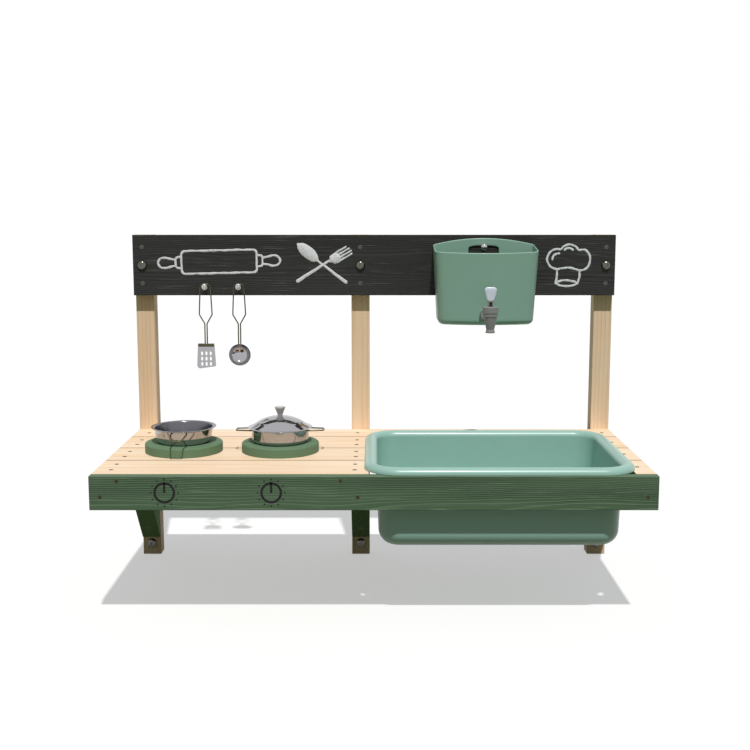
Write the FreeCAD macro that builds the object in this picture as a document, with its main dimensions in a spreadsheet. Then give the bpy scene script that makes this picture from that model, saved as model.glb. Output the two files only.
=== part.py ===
# Mud kitchen for hanging on a wall: a slatted worktop on three posts, with a lift-out tub, two hobs,
# a pan, a pot with a lid, a water tank with a tap, and a spatula and a ladle on ball-headed pegs.
# Millimetres. X runs to the right, Y towards the wall and Z up. The origin lies in the wall's plane,
# in the middle of the four outer wall bolts.
import FreeCAD, Part
import math
import os
import re
import Sketcher

PARTS_FOLDER = "parts"

# Driving sizes
SIZES = {
    # frame
    "overall_width": 1000.0,
    "worktop_depth": 436.0,
    "worktop_rise": 275.5,
    "post_width": 38.0,
    "post_depth": 36.0,
    "post_length": 687.5,
    "middle_post_offset": 28.5,
    "board_thickness": 19.5,
    "chalkboard_height": 125.0,
    "front_board_height": 61.0,
    "slat_thickness": 19.0,
    "slat_width": 110.0,
    "slat_gap": 1.5,
    "end_slat_length": 36.0,
    "bearer_height": 38.0,
    "bracket_depth": 143.0,
    "bracket_height": 179.0,
    "bracket_nose": 12.0,
    "bracket_toe": 4.0,
    "edge_break": 1.0,
    # wall bolts
    "bolt_radius": 4.0,
    "bolt_thread_radius": 3.7,
    "bolt_head_radius": 10.0,
    "bolt_head_height": 6.0,
    "bolt_crown_radius": 5.5,
    "bolt_reach": 40.0,
    "bolt_fit": 0.05,
    "foot_bolt_rise": 25.0,
    # wood screws
    "screw_head_radius": 4.2,
    "screw_shank_radius": 2.0,
    "screw_length": 38.0,
    "board_screw_spacing": 75.0,
    "slat_screw_edge": 32.0,
    "left_screw_inset": 28.0,
    "middle_screw_inset": 25.0,
    "right_screw_inset": 22.0,
    "front_screw_drop": 37.5,
    "front_screw_top_drop": 8.5,
    "front_screw_shift": 30.0,
    "bracket_screw_rise": 25.0,
    # hobs
    "hob_radius": 74.5,
    "hob_thickness": 18.0,
    "hob_edge": 2.5,
    "hob_inset": 131.5,
    "hob_pitch": 187.0,
    "hob_setback": 218.0,
    "hob_screw_radius_place": 40.0,
    # pans
    "sheet_metal": 1.2,
    "pan_base_radius": 51.5,
    "pan_top_radius": 56.0,
    "pan_rim_radius": 63.0,
    "pan_height": 30.5,
    "pan_rim_height": 5.0,
    "pan_base_round": 7.0,
    "pot_radius": 55.0,
    "pot_rim_radius": 59.5,
    "pot_height": 28.5,
    "pot_base_round": 8.0,
    "lid_radius": 62.0,
    "lid_dome_radius": 51.0,
    "lid_rise": 21.5,
    "lid_step": 2.2,
    "lid_clearance": 0.8,
    "lid_screw_radius": 2.0,
    "knob_radius": 10.7,
    "knob_neck_radius": 5.6,
    "knob_height": 17.5,
    "knob_rim": 2.0,
    "knob_screw_depth": 9.0,
    "handle_wire_radius": 1.4,
    "handle_width": 30.0,
    "handle_end_width": 18.0,
    "handle_bend": 4.0,
    "handle_root": 0.8,
    "handle_drop": 4.5,
    "pan_handle_reach": 42.0,
    "pan_handle_tilt": 8.0,
    "pot_handle_reach": 30.0,
    # pegs
    "peg_radius": 2.75,
    "peg_ball_radius": 7.3,
    "peg_depth": 15.0,
    "utensil_peg_reach": 22.0,
    "utensil_peg_rise": 20.0,
    "spatula_inset": 150.5,
    "utensil_spacing": 69.5,
    "tank_peg_reach": 13.0,
    "tank_peg_drop": 24.5,
    # spatula and ladle
    "utensil_offset": 12.0,
    "hang_gap": 0.3,
    "arch_half_width": 10.3,
    "arch_bend": 9.0,
    "belly_half_width": 13.3,
    "belly_drop": 59.0,
    "belly_bend": 7.0,
    "neck_half_width": 2.3,
    "neck_drop": 78.0,
    "neck_bend": 6.0,
    "utensil_wire_drop": 131.0,
    "blade_thickness": 1.2,
    "blade_top_drop": 119.0,
    "blade_top_width": 34.5,
    "blade_foot_width": 40.0,
    "blade_short_side": 167.0,
    "blade_long_side": 172.5,
    "blade_corner": 5.0,
    "blade_hole_width": 4.2,
    "blade_hole_straight": 5.0,
    "blade_hole_height": 7.8,
    "blade_hole_pitch_across": 9.0,
    "blade_hole_pitch_down": 11.0,
    "blade_first_hole_drop": 140.0,
    "ladle_radius": 23.0,
    "ladle_depth": 14.0,
    "ladle_wall": 1.0,
    "ladle_bowl_drop": 143.0,
    # tub
    "tub_left_gap": 13.5,
    "tub_right_gap": 15.0,
    "tub_front_gap": 5.0,
    "tub_back_gap": 4.0,
    "tub_rim_height": 12.5,
    "tub_rim_overhang": 21.5,
    "tub_corner": 64.0,
    "tub_depth": 139.5,
    "tub_wall": 3.0,
    "tub_taper": 8.3,
    "tub_base_round": 28.0,
    "tub_rim_round": 9.0,
    # water tank
    "tank_width": 212.0,
    "tank_depth": 100.0,
    "tank_bow_radius": 313.0,
    "tank_corner_bevel": 7.0,
    "tank_side_taper": 12.0,
    "tank_front_taper": 8.0,
    "tank_wall": 3.0,
    "tank_back_height": 158.0,
    "tank_front_height": 138.5,
    "tank_arch_rise": 15.5,
    "tank_base_bevel": 7.0,
    "tank_seat_gap": 0.2,
    "slot_drop": 15.45,
    "slot_width": 63.0,
    "slot_height": 22.0,
    "slot_corner": 5.0,
    "slot_bow": 3.5,
    # tap
    "tap_rise": 22.0,
    "tap_stand": 61.0,
    "tap_boss_radius": 16.5,
    "tap_boss_stand": 5.0,
    "tap_boss_length": 10.5,
    "tap_thread_radius": 8.0,
    "tap_thread_fit": 0.05,
    "tap_thread_reach": 20.0,
    "tap_bore_radius": 4.5,
    "tap_flange_radius": 14.5,
    "tap_flange_thickness": 3.0,
    "tap_seal_thickness": 2.0,
    "tap_nut_flats": 26.0,
    "tap_nut_thickness": 6.0,
    "tap_body_radius": 14.1,
    "tap_body_top": 9.0,
    "tap_waist_radius": 10.5,
    "tap_waist_drop": 11.4,
    "tap_spout_radius": 7.7,
    "tap_spout_drop": 23.0,
    "tap_lip_radius": 9.2,
    "tap_lip_drop": 29.4,
    "tap_outlet_radius": 5.0,
    "tap_seat_drop": 10.0,
    "tap_chamber_radius": 9.0,
    "tap_cap_radius": 15.5,
    "tap_cap_height": 13.0,
    "tap_cap_top": 3.0,
    "tap_cap_bore_radius": 3.2,
    "tap_rod_radius": 2.5,
    "tap_rod_end": 7.0,
    "tap_pin_rise": 5.0,
    "tap_pin_radius": 1.0,
    "tap_pin_fit": 0.05,
    "tap_seal_radius": 7.5,
    "tap_seal_lip": 1.5,
    "lever_foot_width": 10.0,
    "lever_foot_depth": 9.0,
    "lever_foot_gap": 0.15,
    "lever_slot_width": 5.6,
    "lever_slot_height": 10.0,
    "lever_thickness": 5.0,
    "lever_neck_rise": 10.0,
    "lever_neck_width": 15.0,
    "lever_top_rise": 31.5,
    "lever_top_width": 27.0,
    "lever_height": 36.8,
    "overrun": 5.0,
}

# Places and sizes worked out from the driving sizes
DERIVED = {
    "bolt_half_height": "(post_length - chalkboard_height / 2 - foot_bolt_rise) / 2",
    "foot_z": "-bolt_half_height - foot_bolt_rise",
    "top_z": "foot_z + post_length",
    "worktop_z": "foot_z + worktop_rise",
    "slat_base_z": "worktop_z - slat_thickness",
    "bearer_base_z": "slat_base_z - bearer_height",
    "post_front_y": "-post_depth",
    "front_y": "post_front_y - worktop_depth",
    "slats_front_y": "front_y + board_thickness",
    "slat_pitch": "slat_width + slat_gap",
    "back_slat_y": "slats_front_y + 3 * slat_pitch",
    "chalkboard_y": "post_front_y - board_thickness",
    "chalkboard_z": "top_z - chalkboard_height",
    "half_width": "overall_width / 2",
    "outer_post_x": "half_width - post_width / 2",
    "bearer_length": "worktop_depth - board_thickness",
    "left_slat_length": "half_width - middle_post_offset + post_width / 2",
    "screw_seat_drop": "screw_head_radius - screw_shank_radius",
    "bracket_run": "bracket_depth - bracket_toe",
    "bracket_fall": "bracket_height - bracket_nose",
    "bracket_slope": "atan(bracket_run / bracket_fall)",
    "hob_left_x": "half_width - hob_inset",
    "hob_y": "front_y + hob_setback",
    "hob_top_z": "worktop_z + hob_thickness",
    "peg_ball_shoulder": "sqrt(peg_ball_radius ^ 2 - peg_radius ^ 2)",
    "spatula_x": "half_width - spatula_inset",
    "utensil_peg_z": "chalkboard_z + utensil_peg_rise",
    "utensil_y": "chalkboard_y - utensil_offset",
    "utensil_wire_radius": "handle_wire_radius",
    "blade_y": "utensil_y - utensil_wire_radius",
    "hang_crown": "peg_radius + hang_gap + utensil_wire_radius",
    "ladle_sphere": "(ladle_radius ^ 2 + ladle_depth ^ 2) / (2 * ladle_depth)",
    "pot_bore_radius": "pot_radius - sheet_metal",
    "lid_step_radius": "pot_bore_radius - lid_clearance",
    "lid_sphere": "(lid_dome_radius ^ 2 + (lid_rise + lid_step) ^ 2) / (2 * (lid_rise + lid_step))",
    "lid_inner_sphere": "lid_sphere - sheet_metal",
    "knob_seat": "lid_rise + sheet_metal",
    "basin_left_x": "post_width / 2 - middle_post_offset + tub_left_gap",
    "basin_right_x": "half_width - end_slat_length - tub_right_gap",
    "basin_front_y": "slats_front_y + tub_front_gap",
    "basin_back_y": "back_slat_y - tub_back_gap",
    "basin_centre_x": "(basin_left_x + basin_right_x) / 2",
    "tub_centre_y": "(basin_front_y + basin_back_y) / 2",
    "tub_rim_width": "basin_right_x - basin_left_x + 2 * tub_rim_overhang",
    "tub_rim_depth": "basin_back_y - basin_front_y + 2 * tub_rim_overhang",
    "tank_y": "chalkboard_y - tank_seat_gap",
    "tank_peg_z": "top_z - tank_peg_drop",
    "tank_arch_height": "tank_back_height + tank_arch_rise",
    "slot_rise": "tank_arch_height - slot_drop",
    "tank_z": "tank_peg_z + peg_radius + hang_gap - slot_rise",
    "tank_bevel_step": "tank_wall * (2 - sqrt(2))",
    "tank_base_width": "tank_width - 2 * tank_side_taper",
    "tank_base_depth": "tank_depth - tank_front_taper",
    "tank_base_bow": "tank_bow_radius - tank_front_taper",
    "tank_bow_reach": "sqrt(tank_base_bow ^ 2 - (tank_base_width / 2) ^ 2)",
    "tank_base_side": "tank_base_depth - tank_base_bow + tank_bow_reach",
    "tank_side_draft": "atan(tank_side_taper / tank_arch_height)",
    "tank_front_draft": "atan(tank_front_taper / tank_arch_height)",
    "tank_mouth_slope": "(tank_back_height - tank_front_height) / tank_depth",
    "tank_arch_radius": "((tank_width / 2) ^ 2 + tank_arch_rise ^ 2) / (2 * tank_arch_rise)",
    "slot_shoulder": "slot_width / 2 - slot_corner",
    "slot_top_radius": "(slot_shoulder ^ 2 + slot_bow ^ 2) / (2 * slot_bow)",
    "tap_boss_face": "tank_base_depth + tap_boss_stand",
    "tap_boss_inner_face": "tap_boss_face - tap_boss_length",
    "tap_reach": "tap_boss_face + tap_stand",
    "tap_z": "tank_z + tap_rise",
    "tap_y": "tank_y - tap_reach",
    "tap_flange_y": "tank_y - tap_boss_face - tap_seal_thickness",
    "tap_cap_z": "tap_z + tap_body_top",
    "tap_cap_top_z": "tap_cap_z + tap_cap_height",
    "tap_pin_z": "tap_cap_top_z + tap_pin_rise",
    "tap_seat_z": "tap_z - tap_seat_drop",
}

# Facets of the turned forms and of bent wire
WIDE_SIDES = 28
MIDDLE_SIDES = 16
SMALL_SIDES = 12
SCREW_SIDES = 8
NUT_SIDES = 6
WIRE_SIDES = 8
BEND_STEPS = 3
CORNER_STEPS = 6

# Two lengths closer than this are the same
TOUCH = 1e-3
HALF = 0.5

POST_MIDDLES = {
    "left_post": "-outer_post_x",
    "middle_post": "-middle_post_offset",
    "right_post": "outer_post_x",
}
HOB_MIDDLES = {
    "left_hob_disc": "-hob_left_x",
    "right_hob_disc": "-hob_left_x + hob_pitch",
}

# Axis of a board's grain, and the plane of its section
GRAIN_PLANES = {"X": "YZ_Plane", "Y": "XZ_Plane", "Z": "XY_Plane"}

# Turns about the X axis that point a piece's own Z axis
FACING_FRONT = "90 deg"
FACING_BACK = "-90 deg"
FACING_UP = "0 deg"
FACING_DOWN = "180 deg"

document = FreeCAD.newDocument("mud_kitchen")
sheet = document.addObject("Spreadsheet::Sheet", "Sizes")
exported = []


def named(formula):
    """The formula with each size's name pointing at the sheet."""
    return re.sub(r"[a-z]\w*", lambda word: f"Sizes.{word[0]}" if is_size(word[0]) else word[0], formula)


def is_size(word):
    return word in SIZES or word in DERIVED


def number(formula):
    """The plain number that a formula of sizes comes to now."""
    result = sheet.evalExpression(named(formula))
    return float(getattr(result, "Value", result))


def size(name):
    return number(name)


def bind(thing, field, formula):
    thing.setExpression(field, named(formula))


def place(thing, x="0", y="0", z="0", axis=None, angle="0 deg"):
    """Moves a sub-part to a place, turned by an angle about an axis of its own."""
    if axis:
        thing.Placement = FreeCAD.Placement(FreeCAD.Vector(), FreeCAD.Rotation(FreeCAD.Vector(*axis), 1))
        bind(thing, ".Placement.Rotation.Angle", angle)
    bind(thing, ".Placement.Base.x", x)
    bind(thing, ".Placement.Base.y", y)
    bind(thing, ".Placement.Base.z", z)


def fill_sheet():
    """One row for each size: its name as words, then its cell."""
    row = 0
    for table, start in ((SIZES, ""), (DERIVED, "=")):
        for name, content in table.items():
            row += 1
            sheet.set(f"A{row}", name.replace("_", " "))
            sheet.set(f"B{row}", f"{start}{content}")
            sheet.setAlias(f"B{row}", name)
    document.recompute()


def new_body(label, export=True):
    body = document.addObject("PartDesign::Body", label)
    body.Label = label
    if export:
        exported.append(body)
    return body


def new_sketch(body, name, role, level="0"):
    """A sketch on one of the body's own planes, moved along the plane's normal by level."""
    sketch = body.newObject("Sketcher::SketchObject", name)
    plane = next(feature for feature in body.Origin.OriginFeatures if feature.Role == role)
    sketch.AttachmentSupport = [(plane, "")]
    sketch.MapMode = "FlatFace"
    bind(sketch, ".AttachmentOffset.Base.z", level)
    return sketch


def fix_point(sketch, geometry, end, x, y):
    """Holds an end of a sketch's curve at a place given by two formulas."""
    for kind, formula, axis in (("DistanceX", x, -2), ("DistanceY", y, -1)):
        if formula == "0":
            sketch.addConstraint(Sketcher.Constraint("PointOnObject", geometry, end, axis))
            continue
        held = sketch.addConstraint(
            Sketcher.Constraint(kind, -1, 1, geometry, end, number(formula)))
        sketch.setExpression(f"Constraints[{held}]", named(formula))


def fix_radius(sketch, geometry, formula):
    held = sketch.addConstraint(Sketcher.Constraint("Radius", geometry, number(formula)))
    sketch.setExpression(f"Constraints[{held}]", named(formula))


def arc_between(start, finish, radius, side):
    """The short arc from start to finish, with its centre on the left or the right of the way."""
    chord = finish - start
    left = FreeCAD.Vector(-chord.y, chord.x, 0).normalize()
    reach = math.sqrt(max(radius ** 2 - chord.Length ** 2 / 4, 0))
    centre = (start + finish) / 2 + left * (reach if side == "left" else -reach)
    first, last = (start, finish) if side == "left" else (finish, start)
    first_angle = math.atan2(first.y - centre.y, first.x - centre.x)
    last_angle = math.atan2(last.y - centre.y, last.x - centre.x)
    if last_angle < first_angle:
        last_angle += 2 * math.pi
    circle = Part.Circle(centre, FreeCAD.Vector(0, 0, 1), radius)
    return Part.ArcOfCircle(circle, first_angle, last_angle)


def draw_outline(sketch, points):
    """A closed outline of (x, y) points. Where an arc leaves one, it adds the arc's side and radius."""
    first = len(sketch.Geometry)
    count = len(points)
    places = [FreeCAD.Vector(number(point[0]), number(point[1]), 0) for point in points]
    ends = []
    for index, point in enumerate(points):
        start, finish = places[index], places[(index + 1) % count]
        if len(point) == 2:
            sketch.addGeometry(Part.LineSegment(start, finish))
            ends.append((1, 2))
        else:
            sketch.addGeometry(arc_between(start, finish, number(point[3]), point[2]))
            ends.append((1, 2) if point[2] == "left" else (2, 1))
    for index, point in enumerate(points):
        after = (index + 1) % count
        sketch.addConstraint(Sketcher.Constraint(
            "Coincident", first + index, ends[index][1], first + after, ends[after][0]))
        fix_point(sketch, first + index, ends[index][0], point[0], point[1])
        if len(point) > 2:
            fix_radius(sketch, first + index, point[3])


def draw_circle(sketch, x, y, radius):
    geometry = sketch.addGeometry(Part.Circle(
        FreeCAD.Vector(number(x), number(y), 0), FreeCAD.Vector(0, 0, 1), number(radius)))
    fix_point(sketch, geometry, 3, x, y)
    fix_radius(sketch, geometry, radius)


def draw_rectangle(sketch, left, low, right, high):
    draw_outline(sketch, [(left, low), (right, low), (right, high), (left, high)])


def pad(body, sketch, length, backwards=False, both_ways=False, taper=None):
    feature = body.newObject("PartDesign::Pad", f"{sketch.Name}_pad")
    return extrude(feature, sketch, length, backwards, both_ways, taper)


def pocket(body, sketch, length, backwards=False, both_ways=False, taper=None):
    """Cuts a sketch's outline out of the body, and makes sure that the cut takes something away."""
    volume = body.Shape.Volume
    feature = body.newObject("PartDesign::Pocket", f"{sketch.Name}_pocket")
    extrude(feature, sketch, length, backwards, both_ways, taper)
    if not body.Shape.Volume < volume:
        raise RuntimeError(f"{feature.Name} cuts nothing")
    return feature


def extrude(feature, sketch, length, backwards, both_ways, taper):
    feature.Profile = sketch
    bind(feature, "Length", length)
    feature.Reversed = backwards
    if both_ways:
        feature.SideType = "Symmetric"
    if taper:
        bind(feature, "TaperAngle", taper)
    document.recompute()
    return feature


def carve(body, core):
    """Takes a core, built as a body of its own, out of a body."""
    volume = body.Shape.Volume
    feature = body.newObject("PartDesign::Boolean", f"{body.Name}_cavity")
    feature.Type = "Cut"
    feature.Group = [core]
    document.recompute()
    if not body.Shape.Volume < volume:
        raise RuntimeError(f"{core.Name} takes nothing away")


def soften(body, kind, field, edges, amount):
    """A chamfer on the edges of the finished shape that a test picks out."""
    base = body.Tip
    feature = body.newObject(f"PartDesign::{kind}", f"{body.Name}_{kind.lower()}")
    names = [f"Edge{index + 1}" for index, edge in enumerate(base.Shape.Edges) if edges(edge)]
    feature.Base = (base, names)
    bind(feature, field, amount)
    document.recompute()
    return feature


def draft(body, faces, angle):
    """Leans upright faces so that the body grows wider upwards. They stay in place at its zero level."""
    base = body.Tip
    feature = body.newObject("PartDesign::Draft", f"{body.Name}_draft")
    names = [f"Face{index + 1}" for index, face in enumerate(base.Shape.Faces) if faces(face)]
    plane = next(item for item in body.Origin.OriginFeatures if item.Role == "XY_Plane")
    feature.Base = (base, names)
    feature.NeutralPlane = (plane, [""])
    feature.Reversed = True
    bind(feature, "Angle", angle)
    document.recompute()
    return feature


def chamfer(body, edges, amount):
    return soften(body, "Chamfer", "Size", edges, amount)


def near(first, second):
    return abs(first - second) < TOUCH


def at_height(level):
    """A test for edges that lie in a level plane."""
    height = number(level)
    return lambda edge: all(near(point.z, height) for point in edge.discretize(4))


def rising(level):
    """A test for edges and faces that start at a level and rise from it."""
    height = number(level)

    def test(item):
        heights = [vertex.Z for vertex in item.Vertexes]
        return near(min(heights), height) and not near(max(heights), height)
    return test


def normal_of(face):
    first, _, start, _ = face.ParameterRange
    return face.normalAt(first, start)


def is_flat(face):
    return isinstance(face.Surface, Part.Plane)


def faces_sideways(face):
    return is_flat(face) and abs(normal_of(face).x) > HALF


def upright(level):
    """A test for upright faces that start at a level."""
    starts = rising(level)
    return lambda face: starts(face) and abs(normal_of(face).z) < HALF


def profile_points(points, steps):
    """The corners of an outline as plain vectors, with each arc cut into a few straight steps."""
    corners = [FreeCAD.Vector(number(point[0]), number(point[1]), 0) for point in points]
    along = []
    for index, point in enumerate(points):
        if len(point) == 2:
            along.append(corners[index])
            continue
        arc = arc_between(corners[index], corners[(index + 1) % len(points)], number(point[3]), point[2])
        stops = arc.discretize(steps + 1)
        along.extend(stops[:-1] if point[2] == "left" else stops[:0:-1])
    return along


def round_form(points, sides, steps=3):
    """A turned solid about the Z axis from (radius, height) points, with flat facets."""
    rings = []
    for corner in profile_points(points, steps):
        turns = [2 * math.pi * side / sides for side in range(sides)]
        rings.append([FreeCAD.Vector(corner.x * math.cos(turn), corner.x * math.sin(turn), corner.y)
                      for turn in turns])
    faces = []
    for index, ring in enumerate(rings):
        faces.extend(ring_faces(ring, rings[(index + 1) % len(rings)]))
    return upright_solid(faces)


def ring_faces(low, high):
    """The flat facets between two rings of points. A ring may be one point on the axis."""
    radii = [math.hypot(ring[0].x, ring[0].y) for ring in (low, high)]
    if max(radii) < TOUCH:
        return []
    level = near(low[0].z, high[0].z)
    if level and min(radii) < TOUCH:
        return [facet(low if radii[0] > radii[1] else high)]
    if level:
        outer, inner = (low, high) if radii[0] > radii[1] else (high, low)
        loops = [Part.makePolygon(closed(outer)), Part.makePolygon(closed(inner))]
        return [Part.makeFace(loops, "Part::FaceMakerBullseye")]
    faces = []
    for side in range(len(low)):
        after = (side + 1) % len(low)
        corners = [low[side], low[after], high[after], high[side]]
        if radii[0] < TOUCH:
            corners = corners[1:]
        if radii[1] < TOUCH:
            corners = corners[:3]
        faces.append(facet(corners))
    return faces


def facet(corners):
    return Part.Face(Part.makePolygon(closed(corners)))


def closed(points):
    return [*points, points[0]]


def upright_solid(faces):
    """The solid inside a closed set of faces, with its faces turned outwards."""
    shell = Part.Shell(faces)
    shell.sewShape()
    solid = Part.Solid(shell)
    if solid.Volume < 0:
        solid.reverse()
    return solid


def add_shape(label, shape, export=True):
    """A sub-part whose shape was worked out from the sheet's sizes."""
    feature = document.addObject("Part::Feature", label)
    feature.Label = label
    feature.Shape = shape
    if export:
        exported.append(feature)
    return feature


def turned(label, points, sides, steps=3, export=True):
    return add_shape(label, round_form(points, sides, steps), export)


def timber(label, grain, across, up, length, corner):
    """A sawn board with its arrises broken, its grain along one axis and a corner at its own origin."""
    body = new_body(label)
    sketch = new_sketch(body, f"{label}_section", GRAIN_PLANES[grain])
    draw_rectangle(sketch, "0", "0", across, up)
    pad(body, sketch, length, backwards=grain == "Y")
    axis = "XYZ".index(grain)
    span = number(length)
    chamfer(body, lambda edge: near(edge.Length, span) and runs_along(edge, axis), "edge_break")
    place(body, *corner)
    return body


def runs_along(edge, axis):
    return near(abs(edge.tangentAt(edge.FirstParameter)[axis]), 1)


def drill(body, role, holes, radius, depth, name="holes"):
    """Round holes through a board, both ways from one of its own planes."""
    sketch = new_sketch(body, f"{body.Name}_{name}", role)
    for x, y in holes:
        draw_circle(sketch, x, y, radius)
    return pocket(body, sketch, f"2 * ({depth}) + 2 * overrun", both_ways=True)


def posts():
    """Three posts against the wall, each held by two bolts."""
    for label, middle in POST_MIDDLES.items():
        post = timber(label, "Z", "post_width", "post_depth", "post_length",
                      (f"{middle} - post_width / 2", "post_front_y", "foot_z"))
        holes = [("post_width / 2", "foot_bolt_rise"),
                 ("post_width / 2", "post_length - chalkboard_height / 2")]
        drill(post, "XZ_Plane", holes, "bolt_radius + bolt_fit", "post_depth")


def chalkboard():
    """The black board across the tops of the posts, bored for the bolts and the three pegs."""
    board = timber("chalkboard", "X", "board_thickness", "chalkboard_height", "overall_width",
                   ("-half_width", "chalkboard_y", "chalkboard_z"))
    bolts = [(f"half_width + {middle}", "chalkboard_height / 2") for middle in POST_MIDDLES.values()]
    drill(board, "XZ_Plane", bolts, "bolt_radius + bolt_fit", "board_thickness", "bolt_holes")
    pegs = [("half_width - spatula_x", "utensil_peg_rise"),
            ("half_width - spatula_x + utensil_spacing", "utensil_peg_rise"),
            ("half_width + basin_centre_x", "chalkboard_height - tank_peg_drop")]
    drill(board, "XZ_Plane", pegs, "peg_radius + bolt_fit", "board_thickness", "peg_holes")


def worktop():
    """Slats on bearers, closed in front by a deeper board; short slats run beside the tub's opening."""
    timber("front_board", "X", "board_thickness", "front_board_height", "overall_width",
           ("-half_width", "front_y", "worktop_z - front_board_height"))
    for row in range(3):
        back = f"slats_front_y + {row} * slat_pitch"
        timber(f"slat_{row + 1}", "X", "slat_width", "slat_thickness", "left_slat_length",
               ("-half_width", back, "slat_base_z"))
        timber(f"end_slat_{row + 1}", "X", "slat_width", "slat_thickness", "end_slat_length",
               ("half_width - end_slat_length", back, "slat_base_z"))
    timber("back_slat", "X", "post_front_y - back_slat_y", "slat_thickness", "overall_width",
           ("-half_width", "back_slat_y", "slat_base_z"))
    for label, middle in POST_MIDDLES.items():
        timber(label.replace("post", "bearer"), "Y", "post_width", "bearer_height", "bearer_length",
               (f"{middle} - post_width / 2", "slats_front_y", "bearer_base_z"))


def brackets():
    """Solid gussets under the bearers, as wide as the posts."""
    for label, middle in POST_MIDDLES.items():
        name = label.replace("post", "bracket")
        body = new_body(name)
        sketch = new_sketch(body, f"{name}_outline", "YZ_Plane")
        draw_outline(sketch, [
            ("0", "0"),
            ("-bracket_depth", "0"),
            ("-bracket_depth", "-bracket_nose"),
            ("-bracket_toe", "-bracket_height"),
            ("0", "-bracket_height")])
        pad(body, sketch, "post_width")
        place(body, f"{middle} - post_width / 2", "post_front_y", "bearer_base_z")


def pattern_bolt(label, shank):
    """A round-headed bolt along its own Z axis. Its head starts at zero, and its thread is in the wall."""
    head = round_form([
        ("0", f"-({shank})"),
        ("bolt_radius", f"-({shank})"),
        ("bolt_radius", "0"),
        ("bolt_head_radius", "0"),
        ("bolt_crown_radius", "bolt_head_height"),
        ("0", "bolt_head_height")], SMALL_SIDES)
    foot = FreeCAD.Vector(0, 0, -number(f"{shank} + bolt_reach"))
    thread = Part.makeCylinder(size("bolt_thread_radius"), number("bolt_reach + overrun"), foot)
    return add_shape(label, head.fuse(thread), export=False)


def pattern_screw():
    """A countersunk wood screw along its own Z axis, with the top of its head at zero."""
    return turned("screw_pattern", [
        ("0", "-screw_length"),
        ("screw_shank_radius", "-screw_seat_drop"),
        ("screw_head_radius", "0"),
        ("0", "0")], SCREW_SIDES, export=False)


def fastener_group(label, places):
    """Copies of a pattern fastener as separate solids of one sub-part."""
    links = []
    for pattern, x, y, z, angle in places:
        link = document.addObject("App::Link", f"{label}_{len(links) + 1}")
        link.LinkedObject = pattern
        place(link, x, y, z, axis=(1, 0, 0), angle=angle)
        links.append(link)
    group = document.addObject("Part::Compound", label)
    group.Label = label
    group.Links = links
    exported.append(group)


def wall_bolts():
    long_bolt = pattern_bolt("long_bolt_pattern", "board_thickness + post_depth")
    short_bolt = pattern_bolt("short_bolt_pattern", "post_depth")
    places = []
    for middle in POST_MIDDLES.values():
        places.append((long_bolt, middle, "chalkboard_y", "bolt_half_height", FACING_FRONT))
        places.append((short_bolt, middle, "post_front_y", "-bolt_half_height", FACING_FRONT))
    fastener_group("wall_bolts", places)


def wood_screws():
    """Screws driven straight into the pine, with their heads flush."""
    screw = pattern_screw()
    middles = list(POST_MIDDLES.values())
    fastener_group("board_screws", [
        (screw, middle, "chalkboard_y", f"bolt_half_height {side} board_screw_spacing / 2", FACING_FRONT)
        for middle in middles for side in ("-", "+")])

    columns = (("-half_width + left_screw_inset", 2),
               ("-middle_post_offset + post_width / 2 - middle_screw_inset", 2),
               ("half_width - right_screw_inset", 1))
    places = []
    for x, across in columns:
        for row in range(3):
            front = f"slats_front_y + {row} * slat_pitch"
            for step in range(across):
                inset = "slat_width / 2" if across == 1 else (
                    "slat_screw_edge" if step == 0 else "slat_width - slat_screw_edge")
                places.append((screw, x, f"{front} + {inset}", "worktop_z", FACING_UP))
        places.append((screw, x, "(back_slat_y + post_front_y) / 2", "worktop_z", FACING_UP))
    fastener_group("slat_screws", places)

    low, high = "worktop_z - front_screw_drop", "worktop_z - front_screw_top_drop"
    fastener_group("front_board_screws", [
        (screw, "-outer_post_x", "front_y", low, FACING_FRONT),
        (screw, "-outer_post_x + front_screw_shift", "front_y", high, FACING_FRONT),
        (screw, "-middle_post_offset", "front_y", low, FACING_FRONT),
        (screw, "-middle_post_offset - front_screw_shift", "front_y", high, FACING_FRONT),
        (screw, "outer_post_x", "front_y", low, FACING_FRONT)])

    share = "bracket_screw_rise / bracket_fall"
    slope_y = f"post_front_y - bracket_toe - bracket_run * {share}"
    slope_z = "bearer_base_z - bracket_height + bracket_screw_rise"
    fastener_group("bracket_screws", [
        (screw, middle, slope_y, slope_z, "180 deg - bracket_slope") for middle in middles])

    fastener_group("hob_screws", [
        (screw, f"{hob} {side} hob_screw_radius_place", "hob_y", "slat_base_z", FACING_DOWN)
        for hob in HOB_MIDDLES.values() for side in ("-", "+")])

    fastener_group("bearer_screws", [
        (screw, middle, "0", "bearer_base_z + bearer_height / 2", FACING_BACK) for middle in middles])


def hob_discs():
    """Two solid wooden discs on the worktop, with a broken top edge."""
    for label, middle in HOB_MIDDLES.items():
        disc = turned(label, [
            ("0", "0"),
            ("hob_radius", "0"),
            ("hob_radius", "hob_thickness - hob_edge"),
            ("hob_radius - hob_edge", "hob_thickness"),
            ("0", "hob_thickness")], WIDE_SIDES)
        place(disc, middle, "hob_y", "worktop_z")


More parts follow.
